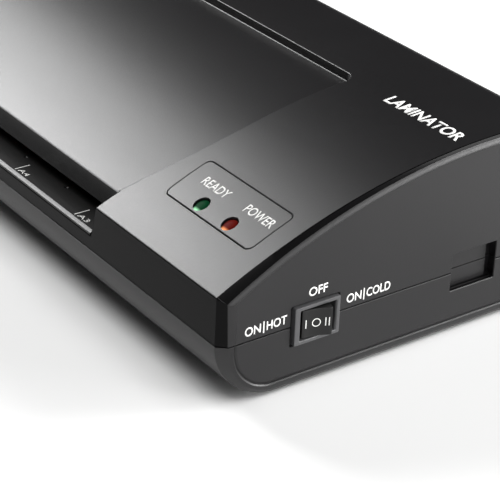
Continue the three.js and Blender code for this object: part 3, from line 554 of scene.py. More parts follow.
NOTCH_TOP_Y = -64.4
NOTCH_CHAMFER = 0.45
NOTCH_WIDE = NOTCH_CHAMFER + 1
NOTCH_FLARE = ((FRONT_AIR, NOTCH_WIDE), (-HALF_DEPTH - 1, NOTCH_WIDE), (-HALF_DEPTH + NOTCH_CHAMFER, 0.0))


def notch_ring(height, out):
    """A ring round the notch at height(y). out is how far its wall opens outwards there."""
    right = []
    for y, flare in NOTCH_FLARE:
        right.append((notch_half(height(y) - out) + max(flare, out), y, height(y)))
    z = height(NOTCH_TOP_Y)
    right.append((notch_half(z - out) + out, mouth_y(z - out) + out, z))
    return mirrored_ring(right)


def notch_cutter():
    """The infeed notch, with a small chamfer along its top and front edges."""
    top = arch_z(NOTCH_TOP_Y)
    slope = (arch_z(-66) - arch_z(-72)) / 6

    def surface(y, lift):
        return top + slope * (y - NOTCH_TOP_Y) + lift

    rings = [notch_ring(lambda y: TRAY_Z - TRAY_THICKNESS - GAP, 0.0),
             notch_ring(lambda y: surface(y, -NOTCH_CHAMFER), 0.0),
             notch_ring(lambda y: surface(y, 1.0), NOTCH_WIDE)]
    rings.append([(x, y, SKY) for x, y, z in rings[-1]])
    return loft("cut", rings)


def triangulated(obj):
    work = bmesh.new()
    work.from_mesh(obj.data)
    bmesh.ops.triangulate(work, faces=work.faces)
    work.to_mesh(obj.data)
    work.free()
    return obj


def slot_cutter():
    """The infeed slot behind the mouth, with a small chamfer along its roof."""
    low, high, lip = TRAY_Z - TRAY_THICKNESS - GAP, TRAY_Z + SLOT_HEIGHT, 0.4
    outline = [(FRONT_AIR, low), (MOUTH_Y + 10, low), (MOUTH_Y + 10, high), (MOUTH_Y + lip, high),
               (MOUTH_Y - 1, high + lip + 1), (FRONT_AIR, high + lip + 1)]
    return prism("cut", outline, "x", -INFEED_HALF, INFEED_HALF)


def outfeed_cutter():
    low, high, lip = TRAY_Z - 1.3, TRAY_Z + SLOT_HEIGHT, 0.5
    inside, back, outside = HALF_DEPTH - 15, HALF_DEPTH, HALF_DEPTH + 10
    outline = [(inside, low), (back - lip, low), (back + 1, low - lip - 1), (outside, low - lip - 1)]
    outline += [(outside, high + lip + 1), (back + 1, high + lip + 1), (back - lip, high), (inside, high)]
    return prism("cut", outline, "x", -INFEED_HALF - 2, INFEED_HALF + 2)


def side_hole(half_y, half_z, corner, levels, centre_y):
    """A cutter for the right end. Each level is (x from the end inwards, outward offset)."""
    rings = []
    for back, out in levels:
        outline = rounded_rectangle(half_y + out, half_z + out, corner + out, 5, (centre_y, PARTING_Z))
        rings.append([(HALF_WIDTH - back, y, z) for y, z in outline])
    return loft("cut", rings)


def label_outline(offset):
    return rounded_half(LABEL_WIDTH / 2 + offset, LABEL_LENGTH / 2 + offset, LABEL_CORNER + offset, LABEL_Y)


def label_seat():
    rings = surface_rings(label_outline(0), [
        (0.0, lambda y: arch_z(y) - LABEL_THICKNESS),
        (0.0, lambda y: arch_z(y) - 0.3),
        (1.3, lambda y: arch_z(y) + 1.0),
        (1.3, lambda y: SKY),
    ], LABEL_X)
    return strip_loft("cut", rings)


# ---- Finishing a piece ----


def finish_piece(obj, material, body="casing", replaces=(), angle=32):
    """Turns a piece into metres, shades it smooth between its sharp edges, and puts it on its body."""
    obj.data.transform(Matrix.Scale(MM, 4))
    mesh = obj.data
    mesh.polygons.foreach_set("use_smooth", [True] * len(mesh.polygons))
    mesh.set_sharp_from_angle(angle=radians(angle))
    mesh.materials.clear()
    mesh.materials.append(material)
    weighted = obj.modifiers.new("weighted_normals", "WEIGHTED_NORMAL")
    weighted.keep_sharp = True
    weighted.weight = 80
    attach(obj, body)
    if replaces:
        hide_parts(*replaces)
    return obj


def shade_exactly(obj):
    """Gives corners on the arch, in the recess and on flat ends their true normals, so nothing streaks."""
    shaded = obj.evaluated_get(bpy.context.evaluated_depsgraph_get()).to_mesh()
    normals = [corner.vector.copy() for corner in shaded.corner_normals]
    mesh = obj.data
    for polygon in mesh.polygons:
        for index in polygon.loop_indices:
            y, z = [c / MM for c in mesh.vertices[mesh.loops[index].vertex_index].co.yz]
            found = None
            if abs(y) < HALF_DEPTH and abs(z - arch_z(y)) < 0.03:
                found = Vector((0, y - CREST_Y, z - ARCH_CENTRE_Z)).normalized()
            elif abs(y) < HALF_DEPTH and abs(z - arch_z(y) + recess_depth(y)) < 0.03:
                rise = (z - ARCH_CENTRE_Z) * RECESS_DEPTH / (RECESS_BACK_Y - RECESS_FRONT_Y)
                found = Vector((0, y - CREST_Y + rise, z - ARCH_CENTRE_Z)).normalized()
            elif abs(polygon.normal.x) > 0.9999:
                found = polygon.normal.copy()
            if found and found.dot(polygon.normal) > 0.9995:
                normals[index] = found
    obj.modifiers.clear()
    mesh.normals_split_custom_set(normals)


# ---- Materials ----


class Nodes:
    """A short way to write a material's node tree."""

    def __init__(self, name):
        self.material = bpy.data.materials.new(name)
        self.material.use_nodes = True
        self.tree = self.material.node_tree
        self.tree.nodes.clear()
        self.output = self.tree.nodes.new("ShaderNodeOutputMaterial")
        self.shader = self.tree.nodes.new("ShaderNodeBsdfPrincipled")
        self.link(self.shader.outputs["BSDF"], self.output.inputs["Surface"])
        self.place = self.tree.nodes.new("ShaderNodeTexCoord").outputs["Object"]

    def link(self, source, target):
        self.tree.links.new(source, target)

    def add(self, kind, inputs=None, **settings):
        node = self.tree.nodes.new(kind)
        for key, value in settings.items():
            setattr(node, key, value)
        for key, value in (inputs or {}).items():
            if isinstance(value, bpy.types.NodeSocket):
                self.link(value, node.inputs[key])
            else:
                node.inputs[key].default_value = value
        return node

    def set(self, **values):
        for key, value in values.items():
            socket = self.shader.inputs[key.replace("_", " ")]
            if isinstance(value, bpy.types.NodeSocket):
                self.link(value, socket)
            else:
                socket.default_value = value

    def noise(self, scale, detail=2.0, roughness=0.5, stretch=None):
        place = self.place
        if stretch:
            place = self.add("ShaderNodeMapping", {"Vector": place, "Scale": stretch}).outputs["Vector"]
        node = self.add("ShaderNodeTexNoise", {"Vector": place, "Scale": scale, "Detail": detail,
                                               "Roughness": roughness})
        return node.outputs["Fac"]

    def spread(self, value, low, high, from_low=0.3, from_high=0.7):
        node = self.add("ShaderNodeMapRange", {"Value": value, "From Min": from_low, "From Max": from_high,
                                               "To Min": low, "To Max": high})
        return node.outputs["Result"]

    def mix(self, share, first, second):
        node = self.add("ShaderNodeMix", {"Factor": share}, data_type="RGBA")
        node.inputs["A"].default_value = (*first, 1)
        node.inputs["B"].default_value = (*second, 1)
        return node.outputs["Result"]

    def bump(self, height, strength, distance, normal=None):
        inputs = {"Height": height, "Strength": strength, "Distance": distance}
        if normal:
            inputs["Normal"] = normal
        return self.add("ShaderNodeBump", inputs).outputs["Normal"]


def gray(value):
    return (value, value, value)


def moulded_plastic(name, dark, light, rough_low, rough_high, grain=0.35, specular=0.5, ior=1.5):
    """Moulded plastic: a fine spark-eroded grain, faint patches and hardly any colour change."""
    n = Nodes(name)
    patches = n.noise(14, 3)
    fine = n.noise(2600, 1.5, 0.6)
    coarse = n.noise(910, 2, 0.5)
    n.set(Base_Color=n.mix(n.spread(patches, 0, 1), dark, light))
    n.set(Roughness=n.spread(fine, rough_low, rough_high))
    normal = n.bump(coarse, grain * 0.5, 0.00008)
    n.set(Normal=n.bump(fine, grain, 0.00005, normal))
    n.set(Specular_IOR_Level=specular, IOR=ior)
    return n.material


def brushed_metal(name, dark, light, rough_low, rough_high, stretch):
    n = Nodes(name)
    lines = n.noise(900, 3, 0.6, stretch)
    patches = n.noise(25, 3)
    n.set(Base_Color=n.mix(n.spread(patches, 0, 1), dark, light), Metallic=1.0)
    n.set(Roughness=n.spread(lines, rough_low, rough_high))
    n.set(Normal=n.bump(lines, 0.15, 0.00004))
    return n.material


def plain_finish(name, dark, light, rough_low, rough_high, scale, bump):
    n = Nodes(name)
    fine = n.noise(scale, 3)
    n.set(Base_Color=n.mix(n.spread(n.noise(scale * 0.1, 2), 0, 1), dark, light))
    n.set(Roughness=n.spread(fine, rough_low, rough_high))
    n.set(Normal=n.bump(fine, bump, 0.00005))
    return n.material


def lens_material(name, dark, bright, glow):
    """A tinted lens. Its lower rim, towards the front, is painted light: lighter and with a glow. The rest is
    painted shade, darker towards the back.
    """
    n = Nodes(name)
    split = n.add("ShaderNodeSeparateXYZ", {"Vector": n.place})
    # Painted light and shade: the base colour and the glow go from dark at the back to lit at the front rim.
    share = n.spread(split.outputs["Y"], 1.0, 0.0, (LED_Y - 2.7) * MM, (LED_Y - 1.3) * MM)
    n.set(Base_Color=n.mix(share, dark, bright))
    n.set(Roughness=n.spread(n.noise(900, 2), 0.3, 0.4))
    n.set(Specular_IOR_Level=0.05)
    n.set(IOR=1.2)
    n.set(Emission_Color=n.mix(share, dark, glow))
    strength = n.spread(share, 0.0, 1.4, 0, 1)
    n.link(strength, n.shader.inputs["Emission Strength"])
    n.set(Normal=n.bump(n.noise(1500, 2), 0.05, 0.00003))
    return n.material


CASING = moulded_plastic("casing_plastic", (0.005, 0.0046, 0.0052), (0.0072, 0.0068, 0.0074), 0.32, 0.42,
                         specular=0.42)
PANEL = moulded_plastic("label_plastic", (0.0058, 0.0055, 0.0058), (0.0078, 0.0075, 0.0078), 0.3, 0.4,
                        0.2, 0.42)
TRAY = moulded_plastic("tray_plastic", gray(0.0045), gray(0.0065), 0.34, 0.46, 0.3, 0.4)
SWITCH = moulded_plastic("switch_plastic", gray(0.005), gray(0.008), 0.3, 0.4, 0.15, 0.36)
# A polished copy of the casing plastic. Its darker colour and weaker reflection are painted shade, for the
# front strip, the mouth wall and the end chamfers.
POLISHED_AND_SHADED = moulded_plastic("polished_and_shaded_plastic", (0.0025, 0.0024, 0.0026), (0.0035, 0.0034, 0.0036), 0.2, 0.26,
                           0.04, 0.15, 1.3)
BEZEL = moulded_plastic("bezel_plastic", (0.055, 0.055, 0.058), (0.068, 0.068, 0.07), 0.28, 0.36, 0.12)
PRINT = plain_finish("white_print", (0.78, 0.78, 0.76), (0.86, 0.86, 0.84), 0.45, 0.6, 900, 0.1)
RUBBER = plain_finish("foot_rubber", gray(0.012), (0.022, 0.022, 0.021), 0.75, 0.9, 700, 0.35)
STEEL = brushed_metal("turned_steel", (0.52, 0.53, 0.54), (0.62, 0.63, 0.64), 0.18, 0.34, (1, 0.02, 0.02))
SHEET = brushed_metal("sheet_steel", (0.42, 0.43, 0.44), (0.56, 0.57, 0.58), 0.32, 0.5, (0.3, 0.3, 0.05))
ALUMINIUM = brushed_metal("heating_aluminium", (0.55, 0.55, 0.56), (0.68, 0.68, 0.69), 0.28, 0.45,
                          (0.02, 1, 1))
SILICONE = plain_finish("roller_silicone", (0.36, 0.10, 0.035), (0.45, 0.14, 0.05), 0.55, 0.72, 500, 0.25)
NYLON = plain_finish("gear_nylon", (0.70, 0.68, 0.60), (0.80, 0.78, 0.71), 0.4, 0.55, 600, 0.15)
BUSHING = plain_finish("bush_plastic", (0.10, 0.055, 0.02), (0.15, 0.085, 0.03), 0.5, 0.65, 500, 0.2)
CIRCUIT = plain_finish("circuit_board", (0.01, 0.10, 0.035), (0.02, 0.16, 0.05), 0.35, 0.5, 1200, 0.3)
WIRE = plain_finish("wire_sleeve", (0.38, 0.02, 0.015), (0.45, 0.035, 0.025), 0.4, 0.5, 500, 0.1)
CERAMIC = plain_finish("thermostat_body", gray(0.02), (0.05, 0.045, 0.04), 0.35, 0.5, 500, 0.2)
GREEN = lens_material("green_lens", (0.003, 0.045, 0.016), (0.25, 0.75, 0.35), (0.55, 1.0, 0.65))
RED = lens_material("red_lens", (0.11, 0.007, 0.005), (0.9, 0.25, 0.08), (1.0, 0.45, 0.2))

# ---- Casing ----
# These differ from the CAD part, where the pocket is a plain hollow and the bezel has no seat.
POCKET_DEPTH = 3.0
POCKET_GROOVES = ((0.7, 1.7), (2.4, 3.4))
SWITCH_SEAT = 1.3
BEZEL_Y = -33.9
BEZEL_HALF_Y, BEZEL_HALF_Z = 9.55, 7.3
BEZEL_FACE = HALF_WIDTH + 1.1


def pocket_clearance():
    """Room for the walls round the blanked pocket."""
    low = (HALF_WIDTH - POCKET_DEPTH - 3.4, POCKET_Y - 12, PARTING_Z - 9)
    return block("cut", low, (HALF_WIDTH + 10, POCKET_Y + 12, PARTING_Z + 9))


def build_cover():
    cover = casing_solid("top_cover_shell", COVER_LEVELS)
    inside = cavity_solid()
    combine(inside, notch_clearance())
    combine(inside, recess_clearance())
    combine(inside, pocket_clearance())
    combine(cover, inside)
    for x, y in SCREWS:
        combine(cover, rod("boss", x, y, 3.6, PARTING_Z - 0.6, arch_z(y) - 1), "UNION")
    combine(cover, block("cut", (-300, -120, -20), (300, 120, PARTING_Z + GAP / 2)))
    combine(cover, triangulated(notch_cutter()))
    combine(cover, slot_cutter())
    combine(cover, outfeed_cutter())
    combine(cover, recess_cutter())
    combine(cover, label_seat())
    half_x, half_y = LABEL_WIDTH / 2 - 1.2, LABEL_LENGTH / 2 - 1.2
    combine(cover, block("cut", (LABEL_X - half_x, LABEL_Y - half_y, 30),
                         (LABEL_X + half_x, LABEL_Y + half_y, 60)))
    combine(cover, edge_plug(1, 0.3), "INTERSECT")
    side_openings(cover)
    screw_bores(cover, 0, PARTING_Z + 10)
    return cover


def edge_plug(toward, bevel):
    """Everything on one side of the parting plane, a little smaller next to it, to bevel the edge."""
    def ring(z, in_x, in_y):
        x, y, cut = HALF_WIDTH - in_x, HALF_DEPTH - in_y, 3.2
        right = [(x, -y + cut), (x, y - cut), (x - cut, y)]
        left = [(-x + cut, y), (-x, y - cut), (-x, -y + cut)]
        return [(a, b, z) for a, b in right + left + [(-x + cut, -y), (x - cut, -y)]]

    start = PARTING_Z + toward * GAP / 2
    return loft("plug", [ring(start, PANEL_DROP + bevel, bevel),
                         ring(start + toward * bevel, PANEL_DROP - 0.01, -0.02),
                         ring(start + toward * (bevel + 0.02), -5, -5),
                         ring(start + toward * 90, -5, -5)])


def side_openings(obj):
    """Cuts the switch's hole and seat, and the blanked pocket with its two grooves and its deep rear slot."""
    outside = -10
    through = [(30, 0), (outside, 0)]
    combine(obj, side_hole(BEZEL_HALF_Y - 0.8, BEZEL_HALF_Z - 0.8, 0.8, through, BEZEL_Y))
    seat = [(SWITCH_SEAT, 0), (PANEL_DROP + 0.2, 0), (PANEL_DROP - 0.05, 0.15), (outside, 0.15)]
    combine(obj, side_hole(SWITCH_HALF_Y, SWITCH_HALF_Z + 0.3, 0.6, seat, BEZEL_Y - 0.2))
    pocket = [(POCKET_DEPTH, 0), (PANEL_DROP + 0.25, 0), (PANEL_DROP - 1, 1.25), (outside, 1.25)]
    combine(obj, side_hole(SWITCH_HALF_Y, SWITCH_HALF_Z, 0.5, pocket, POCKET_Y))
    low, high = PARTING_Z - SWITCH_HALF_Z, PARTING_Z + SWITCH_HALF_Z
    front, rear = POCKET_Y - SWITCH_HALF_Y, POCKET_Y + SWITCH_HALF_Y
    for first, last in POCKET_GROOVES:
        combine(obj, block("cut", (HALF_WIDTH - last, front + 0.6, low - 1.4),
                           (HALF_WIDTH - first, rear - 0.3, low + 0.5)))
    combine(obj, block("cut", (HALF_WIDTH - POCKET_DEPTH - 1.4, rear - 2.4, low + 0.6),
                       (HALF_WIDTH - 1.2, rear + 0.8, high - 0.6)))


def screw_bores(obj, low, high):
    for x, y in SCREWS:
        combine(obj, rod("cut", x, y, SCREW_RADIUS + 0.15, low, high, 20))


def foot_and_screw_cuts(housing):
    wide, narrow = SCREW_HEAD_RADIUS + 1.4, SCREW_HEAD_RADIUS + 0.3
    counterbore = [(wide, -6), (wide, FOOT_HEIGHT - 1), (narrow, FOOT_HEIGHT + 0.1),
                   (narrow, FOOT_HEIGHT + COUNTERBORE_DEPTH)]
    for x, y in SCREWS:
        combine(housing, lathe("cut", counterbore, (x, y, 0)))
    for x, y in FEET:
        combine(housing, rod("cut", x, y, FOOT_PEG_RADIUS + 0.15, -5, 8, 20))


def vent_cuts(housing):
    """Two rows of slots with flared edges in the floor of the housing."""
    for column in range(-4, 5):
        for row in (-12.5, 12.5):
            rings = []
            for z, out in ((-5, 1.4), (FOOT_HEIGHT - 1, 1.4), (FOOT_HEIGHT + 0.4, 0), (8, 0)):
                outline = rounded_rectangle(7 + out, 1.5 + out, 1.45 + out, 5, (column * 22, row))
                rings.append([(x, y, z) for x, y in outline])
            combine(housing, loft("cut", rings))


def inlet_cut(housing):
    rings = []
    for back, out in ((20, 0), (0.4, 0), (-1, 1.4), (-10, 1.4)):
        outline = rounded_rectangle(INLET_HALF_X + out, INLET_HALF_Z + out, 1.2 + out, 5, (INLET_X, INLET_Z))
        rings.append([(x, HALF_DEPTH - back, z) for x, z in outline])
    combine(housing, loft("cut", rings))


def build_housing():
    housing = casing_solid("bottom_housing_shell", HOUSING_LEVELS)
    inside = cavity_solid()
    combine(inside, pocket_clearance())
    combine(housing, inside)
    for x, y in SCREWS:
        combine(housing, rod("post", x, y, 4.6, FOOT_HEIGHT + 1, PARTING_Z - 3), "UNION")
    for x, y in FEET:
        if y < 0:
            combine(housing, rod("seat", x, y, FOOT_RADIUS + 0.8, FOOT_HEIGHT + 0.01, 9, 32), "UNION")
    combine(housing, edge_plug(-1, 0.16), "INTERSECT")
    side_openings(housing)
    screw_bores(housing, -5, 40)
    foot_and_screw_cuts(housing)
    vent_cuts(housing)
    inlet_cut(housing)
    return housing


def polish_and_shade(cover):
    """Gives the front strip, the wall of the mouth and the chamfers at the ends a smoother, polished finish
    whose darker colour and weaker reflection are painted shade.
    """
    cover.data.materials.append(POLISHED_AND_SHADED)
    for polygon in cover.data.polygons:
        place = polygon.center / MM
        on_chamfer = 0.7 < HALF_WIDTH - abs(place.x) < 3.9 and 0.25 < abs(polygon.normal.x) < 0.95
        on_front = place.y < -60 and polygon.normal.y < -0.9
        polygon.material_index = int(on_chamfer or on_front)


cover = finish_piece(build_cover(), CASING, replaces=["top_cover"])
shade_exactly(cover)
polish_and_shade(cover)
shade_exactly(finish_piece(build_housing(), CASING, replaces=["bottom_housing"]))

# ---- Tray and outfeed ----
DIMPLE_START, DIMPLE_PITCH, DIMPLE_Y = 5.0, 30.5, -62.2


def build_tray():
    """The tray plate. Its front edge slopes down to the front, and its top has a row of small dimples."""
    front, top, bottom = -HALF_DEPTH, TRAY_Z, TRAY_Z - TRAY_THICKNESS
    outline = [(y, z) for y, z, _, _ in arc(front + 0.5, bottom + 0.5, 0.5, pi, 1.5 * pi, 4)]
    outline += [(TRAY_REAR_Y, bottom), (TRAY_REAR_Y, top - 0.5), (TRAY_REAR_Y - 0.3, top - 0.25)]
    outline += [(TRAY_REAR_Y - 3, top), (front + 1.55, top), (front + 1.4, top - 0.03)]
    outline += [(front + 0.35, top - 0.42), (front + 0.1, top - 0.6), (front, top - 0.9)]
    half = INFEED_HALF - GAP - INFEED_FLARE * TRAY_THICKNESS
    tray = prism("infeed_tray_plate", outline, "x", -half, half)
    dimple = [(0.05, -0.45), (0.5, -0.3), (0.8, 0.05), (0.8, 1)]
    for side in (1, -1):
        for number in range(6):
            place = (side * (DIMPLE_START + DIMPLE_PITCH * number), DIMPLE_Y, TRAY_Z)
            combine(tray, lathe("dimple", dimple, place, sides=12))
    return tray


def build_guide():
    top, back = TRAY_Z, HALF_DEPTH - 0.6
    outline = [(40.5, top - 1.6), (back - 0.4, top - 1), (back, top - 0.7), (back, top - 0.3)]
    outline += [(back - 0.4, top), (43, top), (40.8, top - 0.6)]
    guide = prism("outfeed_guide_plate", outline, "x", -INFEED_HALF, INFEED_HALF)
    for column in range(-3, 4):
        rib = [(44, top - 4.6), (44.6, top - 5), (back - WALL - 1, top - 5), (back - WALL - 0.6, top - 4.6)]
        rib += [(back - WALL - 0.6, top - 0.8), (44, top - 0.8)]
        combine(guide, prism("rib", rib, "x", column * 48 - 1, column * 48 + 1), "UNION")
    return guide


finish_piece(build_tray(), TRAY, replaces=["infeed_tray"])
finish_piece(build_guide(), TRAY, replaces=["outfeed_guide"])

# ---- Status label and its two lights ----
# The lens's section: (share of its radius, depth under the cover's surface).
LENS_LEVELS = ((0.9, 7.2), (1.0, 7.0), (1.0, 1.3), (0.97, 1.05), (0.88, 0.8), (0.7, 0.55), (0.4, 0.4),
               (0.1, 0.36))


def build_label():
    rings = surface_rings(label_outline(-0.2), [
        (0.0, lambda y: arch_z(y) - LABEL_THICKNESS + GAP),
        (0.0, lambda y: arch_z(y) - 0.2),
        (-0.2, arch_z),
    ], LABEL_X)
    label = strip_loft("status_label", rings)
    for x in LED_X.values():
        combine(label, rod("cut", x, LED_Y, LED_RADIUS + 0.2, 40, arch_z(LED_Y) + 10, 48))
    return label


def build_lens(name, x):
    """A round lens. Its low dome leans with the cover, just under the surface."""
    radius = LED_RADIUS + 0.2 - 0.12
    slope = (arch_z(LED_Y + 1) - arch_z(LED_Y - 1)) / 2
    rings = []
    for share, sink in LENS_LEVELS:
        ring = []
        for i in range(40):
            a = 2 * pi * i / 40
            y = radius * share * sin(a)
            ring.append((x + radius * share * cos(a), LED_Y + y, arch_z(LED_Y) + slope * y - sink))
        rings.append(ring)
    return loft(name, rings)


finish_piece(build_label(), PANEL, replaces=["indicator_panel"])
for name, material, colour in (("ready", GREEN, "green"), ("power", RED, "red")):
    lens = build_lens(f"{name}_lens", LED_X[name])
    finish_piece(lens, material, replaces=[f"{name}_led"], angle=60)

# ---- Switch ----
ROCKER_HALF_Y, ROCKER_HALF_Z = 5.45, 5.4
PIVOT_X = HALF_WIDTH - 3
WELL_Y = -33.55
WELL_HALF_Y, WELL_HALF_Z = 7.4, 5.8


def side_rings(levels, centre_y=BEZEL_Y):
    """Rings of rounded rectangles: (x, half y, half z, corner)."""
    rings = []
    for x, half_y, half_z, corner in levels:
        outline = rounded_rectangle(half_y, half_z, corner, 4, (centre_y, PARTING_Z))
        rings.append([(x, y, z) for y, z in outline])
    return rings


def build_switch():
    face = BEZEL_FACE
    seat = HALF_WIDTH - SWITCH_SEAT + 0.02
    levels = [
        (HALF_WIDTH - 16, BEZEL_HALF_Y - 1.1, BEZEL_HALF_Z - 1.1, 0.4),
        (HALF_WIDTH - 15.8, BEZEL_HALF_Y - 0.9, BEZEL_HALF_Z - 0.9, 0.4),
        (seat, BEZEL_HALF_Y - 0.9, BEZEL_HALF_Z - 0.9, 0.4),
        (seat, BEZEL_HALF_Y, BEZEL_HALF_Z, 0.5),
        (face - 0.4, BEZEL_HALF_Y, BEZEL_HALF_Z, 0.5),
        (face - 0.1, BEZEL_HALF_Y - 0.1, BEZEL_HALF_Z - 0.1, 0.5),
        (face, BEZEL_HALF_Y - 0.4, BEZEL_HALF_Z - 0.4, 0.5),
    ]
    well = [
        (face, WELL_HALF_Y + 0.6, WELL_HALF_Z + 0.35, 0.4),
        (face - 0.15, WELL_HALF_Y + 0.3, WELL_HALF_Z + 0.12, 0.35),
        (face - 0.6, WELL_HALF_Y, WELL_HALF_Z, 0.3),
        (HALF_WIDTH - 9, WELL_HALF_Y, WELL_HALF_Z, 0.3),
    ]
    body = loft("switch_housing", side_rings(levels) + side_rings(well, WELL_Y))
    for offset in (-6, 0, 6):
        blade = [(-2.4, -0.4), (2.4, -0.4), (2.4, 0.4), (-2.4, 0.4)]
        rings = []
        for x, share in ((HALF_WIDTH - 23, 0.6), (HALF_WIDTH - 22, 1.0), (HALF_WIDTH - 15.5, 1.0)):
            rings.append([(x, SWITCH_Y + offset + b, PARTING_Z + a * share) for a, b in blade])
        combine(body, loft("blade", rings), "UNION")
    return body


def rocker_face(y):
    """Height of the rocker's face over its pivot: one smooth hollow, higher at the two ends."""
    return 4.8 + 0.7 * (y / ROCKER_HALF_Y) ** 2


def build_rocker():
    """Modelled about its pivot in its middle position, then turned to where it rests."""
    steps = 18
    ys = [-ROCKER_HALF_Y + 2 * ROCKER_HALF_Y * i / steps for i in range(steps + 1)]
    rings = []
    for z, inset in ((-ROCKER_HALF_Z, 0.35), (-ROCKER_HALF_Z + 0.1, 0.1), (-ROCKER_HALF_Z + 0.35, 0.0),
                     (ROCKER_HALF_Z - 0.35, 0.0), (ROCKER_HALF_Z - 0.1, 0.1), (ROCKER_HALF_Z, 0.35)):
        top = [(rocker_face(y) - inset, y * (1 - inset / ROCKER_HALF_Y)) for y in ys]
        top[0] = (top[0][0] - 0.25, top[0][1])
        top[-1] = (top[-1][0] - 0.25, top[-1][1])
        belly = [(3.0, ROCKER_HALF_Y + 0.15 - inset)]
        for i in range(9):
            angle = radians(20) + radians(140) * i / 8
            belly.append((0.6 - (4.6 - inset) * sin(angle), (4.7 - inset) * cos(angle)))
        belly.append((3.0, -ROCKER_HALF_Y - 0.15 + inset))
        rings.append([(x, y, z) for x, y in top + belly])
    rocker = loft("rocker_cap", rings)
    rocker.data.transform(ROCKER_REST)
    clean(rocker)
    return rocker


ROCKER_REST = Matrix.Translation((PIVOT_X, SWITCH_Y, PARTING_Z)) @ Matrix.Rotation(-SWITCH_TILT, 4, "Z")
finish_piece(build_switch(), BEZEL, replaces=["switch_body"])
finish_piece(build_rocker(), SWITCH, "switch_rocker", ["switch_rocker"], angle=40)

# ---- Printing ----
INK = 0.04


def letters(words, bold):
    curve = bpy.data.curves.new("words", "FONT")
    curve.body = words
    curve.size = 1.0
    curve.offset = bold
    curve.resolution_u = 5
    obj = bpy.data.objects.new("words", curve)
    bpy.context.scene.collection.objects.link(obj)
    graph = bpy.context.evaluated_depsgraph_get()
    mesh = bpy.data.meshes.new_from_object(obj.evaluated_get(graph))
    bpy.data.objects.remove(obj)
    return mesh


def text_mesh(words, height, width, bold=0.008):
    """Flat lettering from the built-in typeface: capitals are height tall, and the line is width long."""
    tall = max(v.co.y for v in letters("H", bold).vertices)
    mesh = letters(words, bold)
    first = min(v.co.x for v in mesh.vertices)
    last = max(v.co.x for v in mesh.vertices)
    for v in mesh.vertices:
        v.co = Vector(((v.co.x - first) * width / (last - first), v.co.y * height / tall, 0))
    return mesh


def lay_print(name, mesh, place, body="casing"):
    """Lays a flat mesh on a surface as a thin layer of ink: place(a, b, lift) is the point over it."""
    work = bmesh.new()
    work.from_mesh(mesh)
    smooth = mesh.polygons[0].use_smooth
    bpy.data.meshes.remove(mesh)
    bmesh.ops.remove_doubles(work, verts=work.verts, dist=1e-5)
    long_edges = [e for e in work.edges if e.calc_length() > 1.5]
    bmesh.ops.subdivide_edges(work, edges=long_edges, cuts=2)
    work.verts.index_update()
    count = len(work.verts)
    points = [place(v.co.x, v.co.y, lift) for lift in (INK, -INK) for v in work.verts]
    faces = []
    for face in work.faces:
        ring = [v.index for v in face.verts]
        faces += [ring, [i + count for i in reversed(ring)]]
        for loop in face.loops:
            if loop.edge.is_boundary:
                first, second = loop.vert.index, loop.link_loop_next.vert.index
                faces.append([second, first, first + count, second + count])
    work.free()
    obj = new_mesh(name, points, sorted(faces))
    obj.data.polygons.foreach_set("use_smooth", [smooth] * len(obj.data.polygons))
    obj.data.transform(Matrix.Scale(MM, 4))
    obj.data.materials.append(PRINT)
    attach(obj, body)
    return obj


def shape_mesh(polygons):
    """A flat mesh of separate polygons, each a list of (a, b)."""
    points, faces = [], []
    for polygon in polygons:
        faces.append(tuple(range(len(points), len(points) + len(polygon))))
        points += [(a, b, 0) for a, b in polygon]
    mesh = bpy.data.meshes.new("shape")
    mesh.from_pydata(points, [], faces)
    return mesh


def bar(a, b, width, height):
    return [(a, b), (a + width, b), (a + width, b + height), (a, b + height)]


def ring_polygons(centre, outer, inner, sides=40):
    """A flat ring as quads."""
    found = []
    for i in range(sides):
        a, b = 2 * pi * i / sides, 2 * pi * (i + 1) / sides
        found.append([(centre[0] + outer * cos(a), centre[1] + outer * sin(a)),
                      (centre[0] + outer * cos(b), centre[1] + outer * sin(b)),
                      (centre[0] + inner * cos(b), centre[1] + inner * sin(b)),
                      (centre[0] + inner * cos(a), centre[1] + inner * sin(a))])
    return found


def on_top(x, y):
    return lambda a, b, lift: (x + a, y + b, arch_z(y + b) + lift)


def on_tray(x, y):
    return lambda a, b, lift: (x + a, y + b, TRAY_Z + lift)


def on_end(y, z):
    return lambda a, b, lift: (HALF_WIDTH - PANEL_DROP + lift, y + a, z + b)


def on_rocker(a, b, lift):
    return tuple(ROCKER_REST @ Vector((rocker_face(a) + lift, a, b)))


lay_print("print_ready", text_mesh("READY", 3.5, 14.6), on_top(190.0, -45.4))
lay_print("print_power", text_mesh("POWER", 3.5, 15.6), on_top(215.0, -45.2))
lay_print("print_laminator", text_mesh("LAMINATOR", 5.6, 40.0, 0.02), on_top(198.0, 28.0))
for mode, y, line_x, second_x, width in (("HOT", -63.3, 7.7, 8.9, 8.3), ("COLD", -20.8, 7.5, 8.6, 10.5)):
    key = f"print_on_{mode.lower()}"
    first_width = 2 * line_x - second_x
    lay_print(f"{key}_start", text_mesh("ON", 3.3, first_width, 0.014), on_end(y, 27.7))
    lay_print(f"{key}_line", shape_mesh([bar(-0.2, -0.75, 0.45, 4.5)]), on_end(y + line_x, 27.7))
    lay_print(f"{key}_end", text_mesh(mode, 3.3, width, 0.014), on_end(y + second_x, 27.7))
lay_print("print_off", text_mesh("OFF", 3.3, 7.9, 0.014), on_end(-37.3, 35.2))
for label, x in (("A3", 147.2), ("A4", 103.7)):
    key = label.lower()
    for side, text_x in (("right", x + 1.5), ("left", -x - 7.7)):
        lay_print(f"print_{key}_{side}", text_mesh(label, 2.2, 6.2, -0.004), on_tray(text_x, -70.6))
    for side, tick_x in (("right", x), ("left", -x)):
        lay_print(f"tick_{key}_{side}", shape_mesh([bar(-0.2, 0, 0.4, 6.5)]), on_tray(tick_x, -70.9))
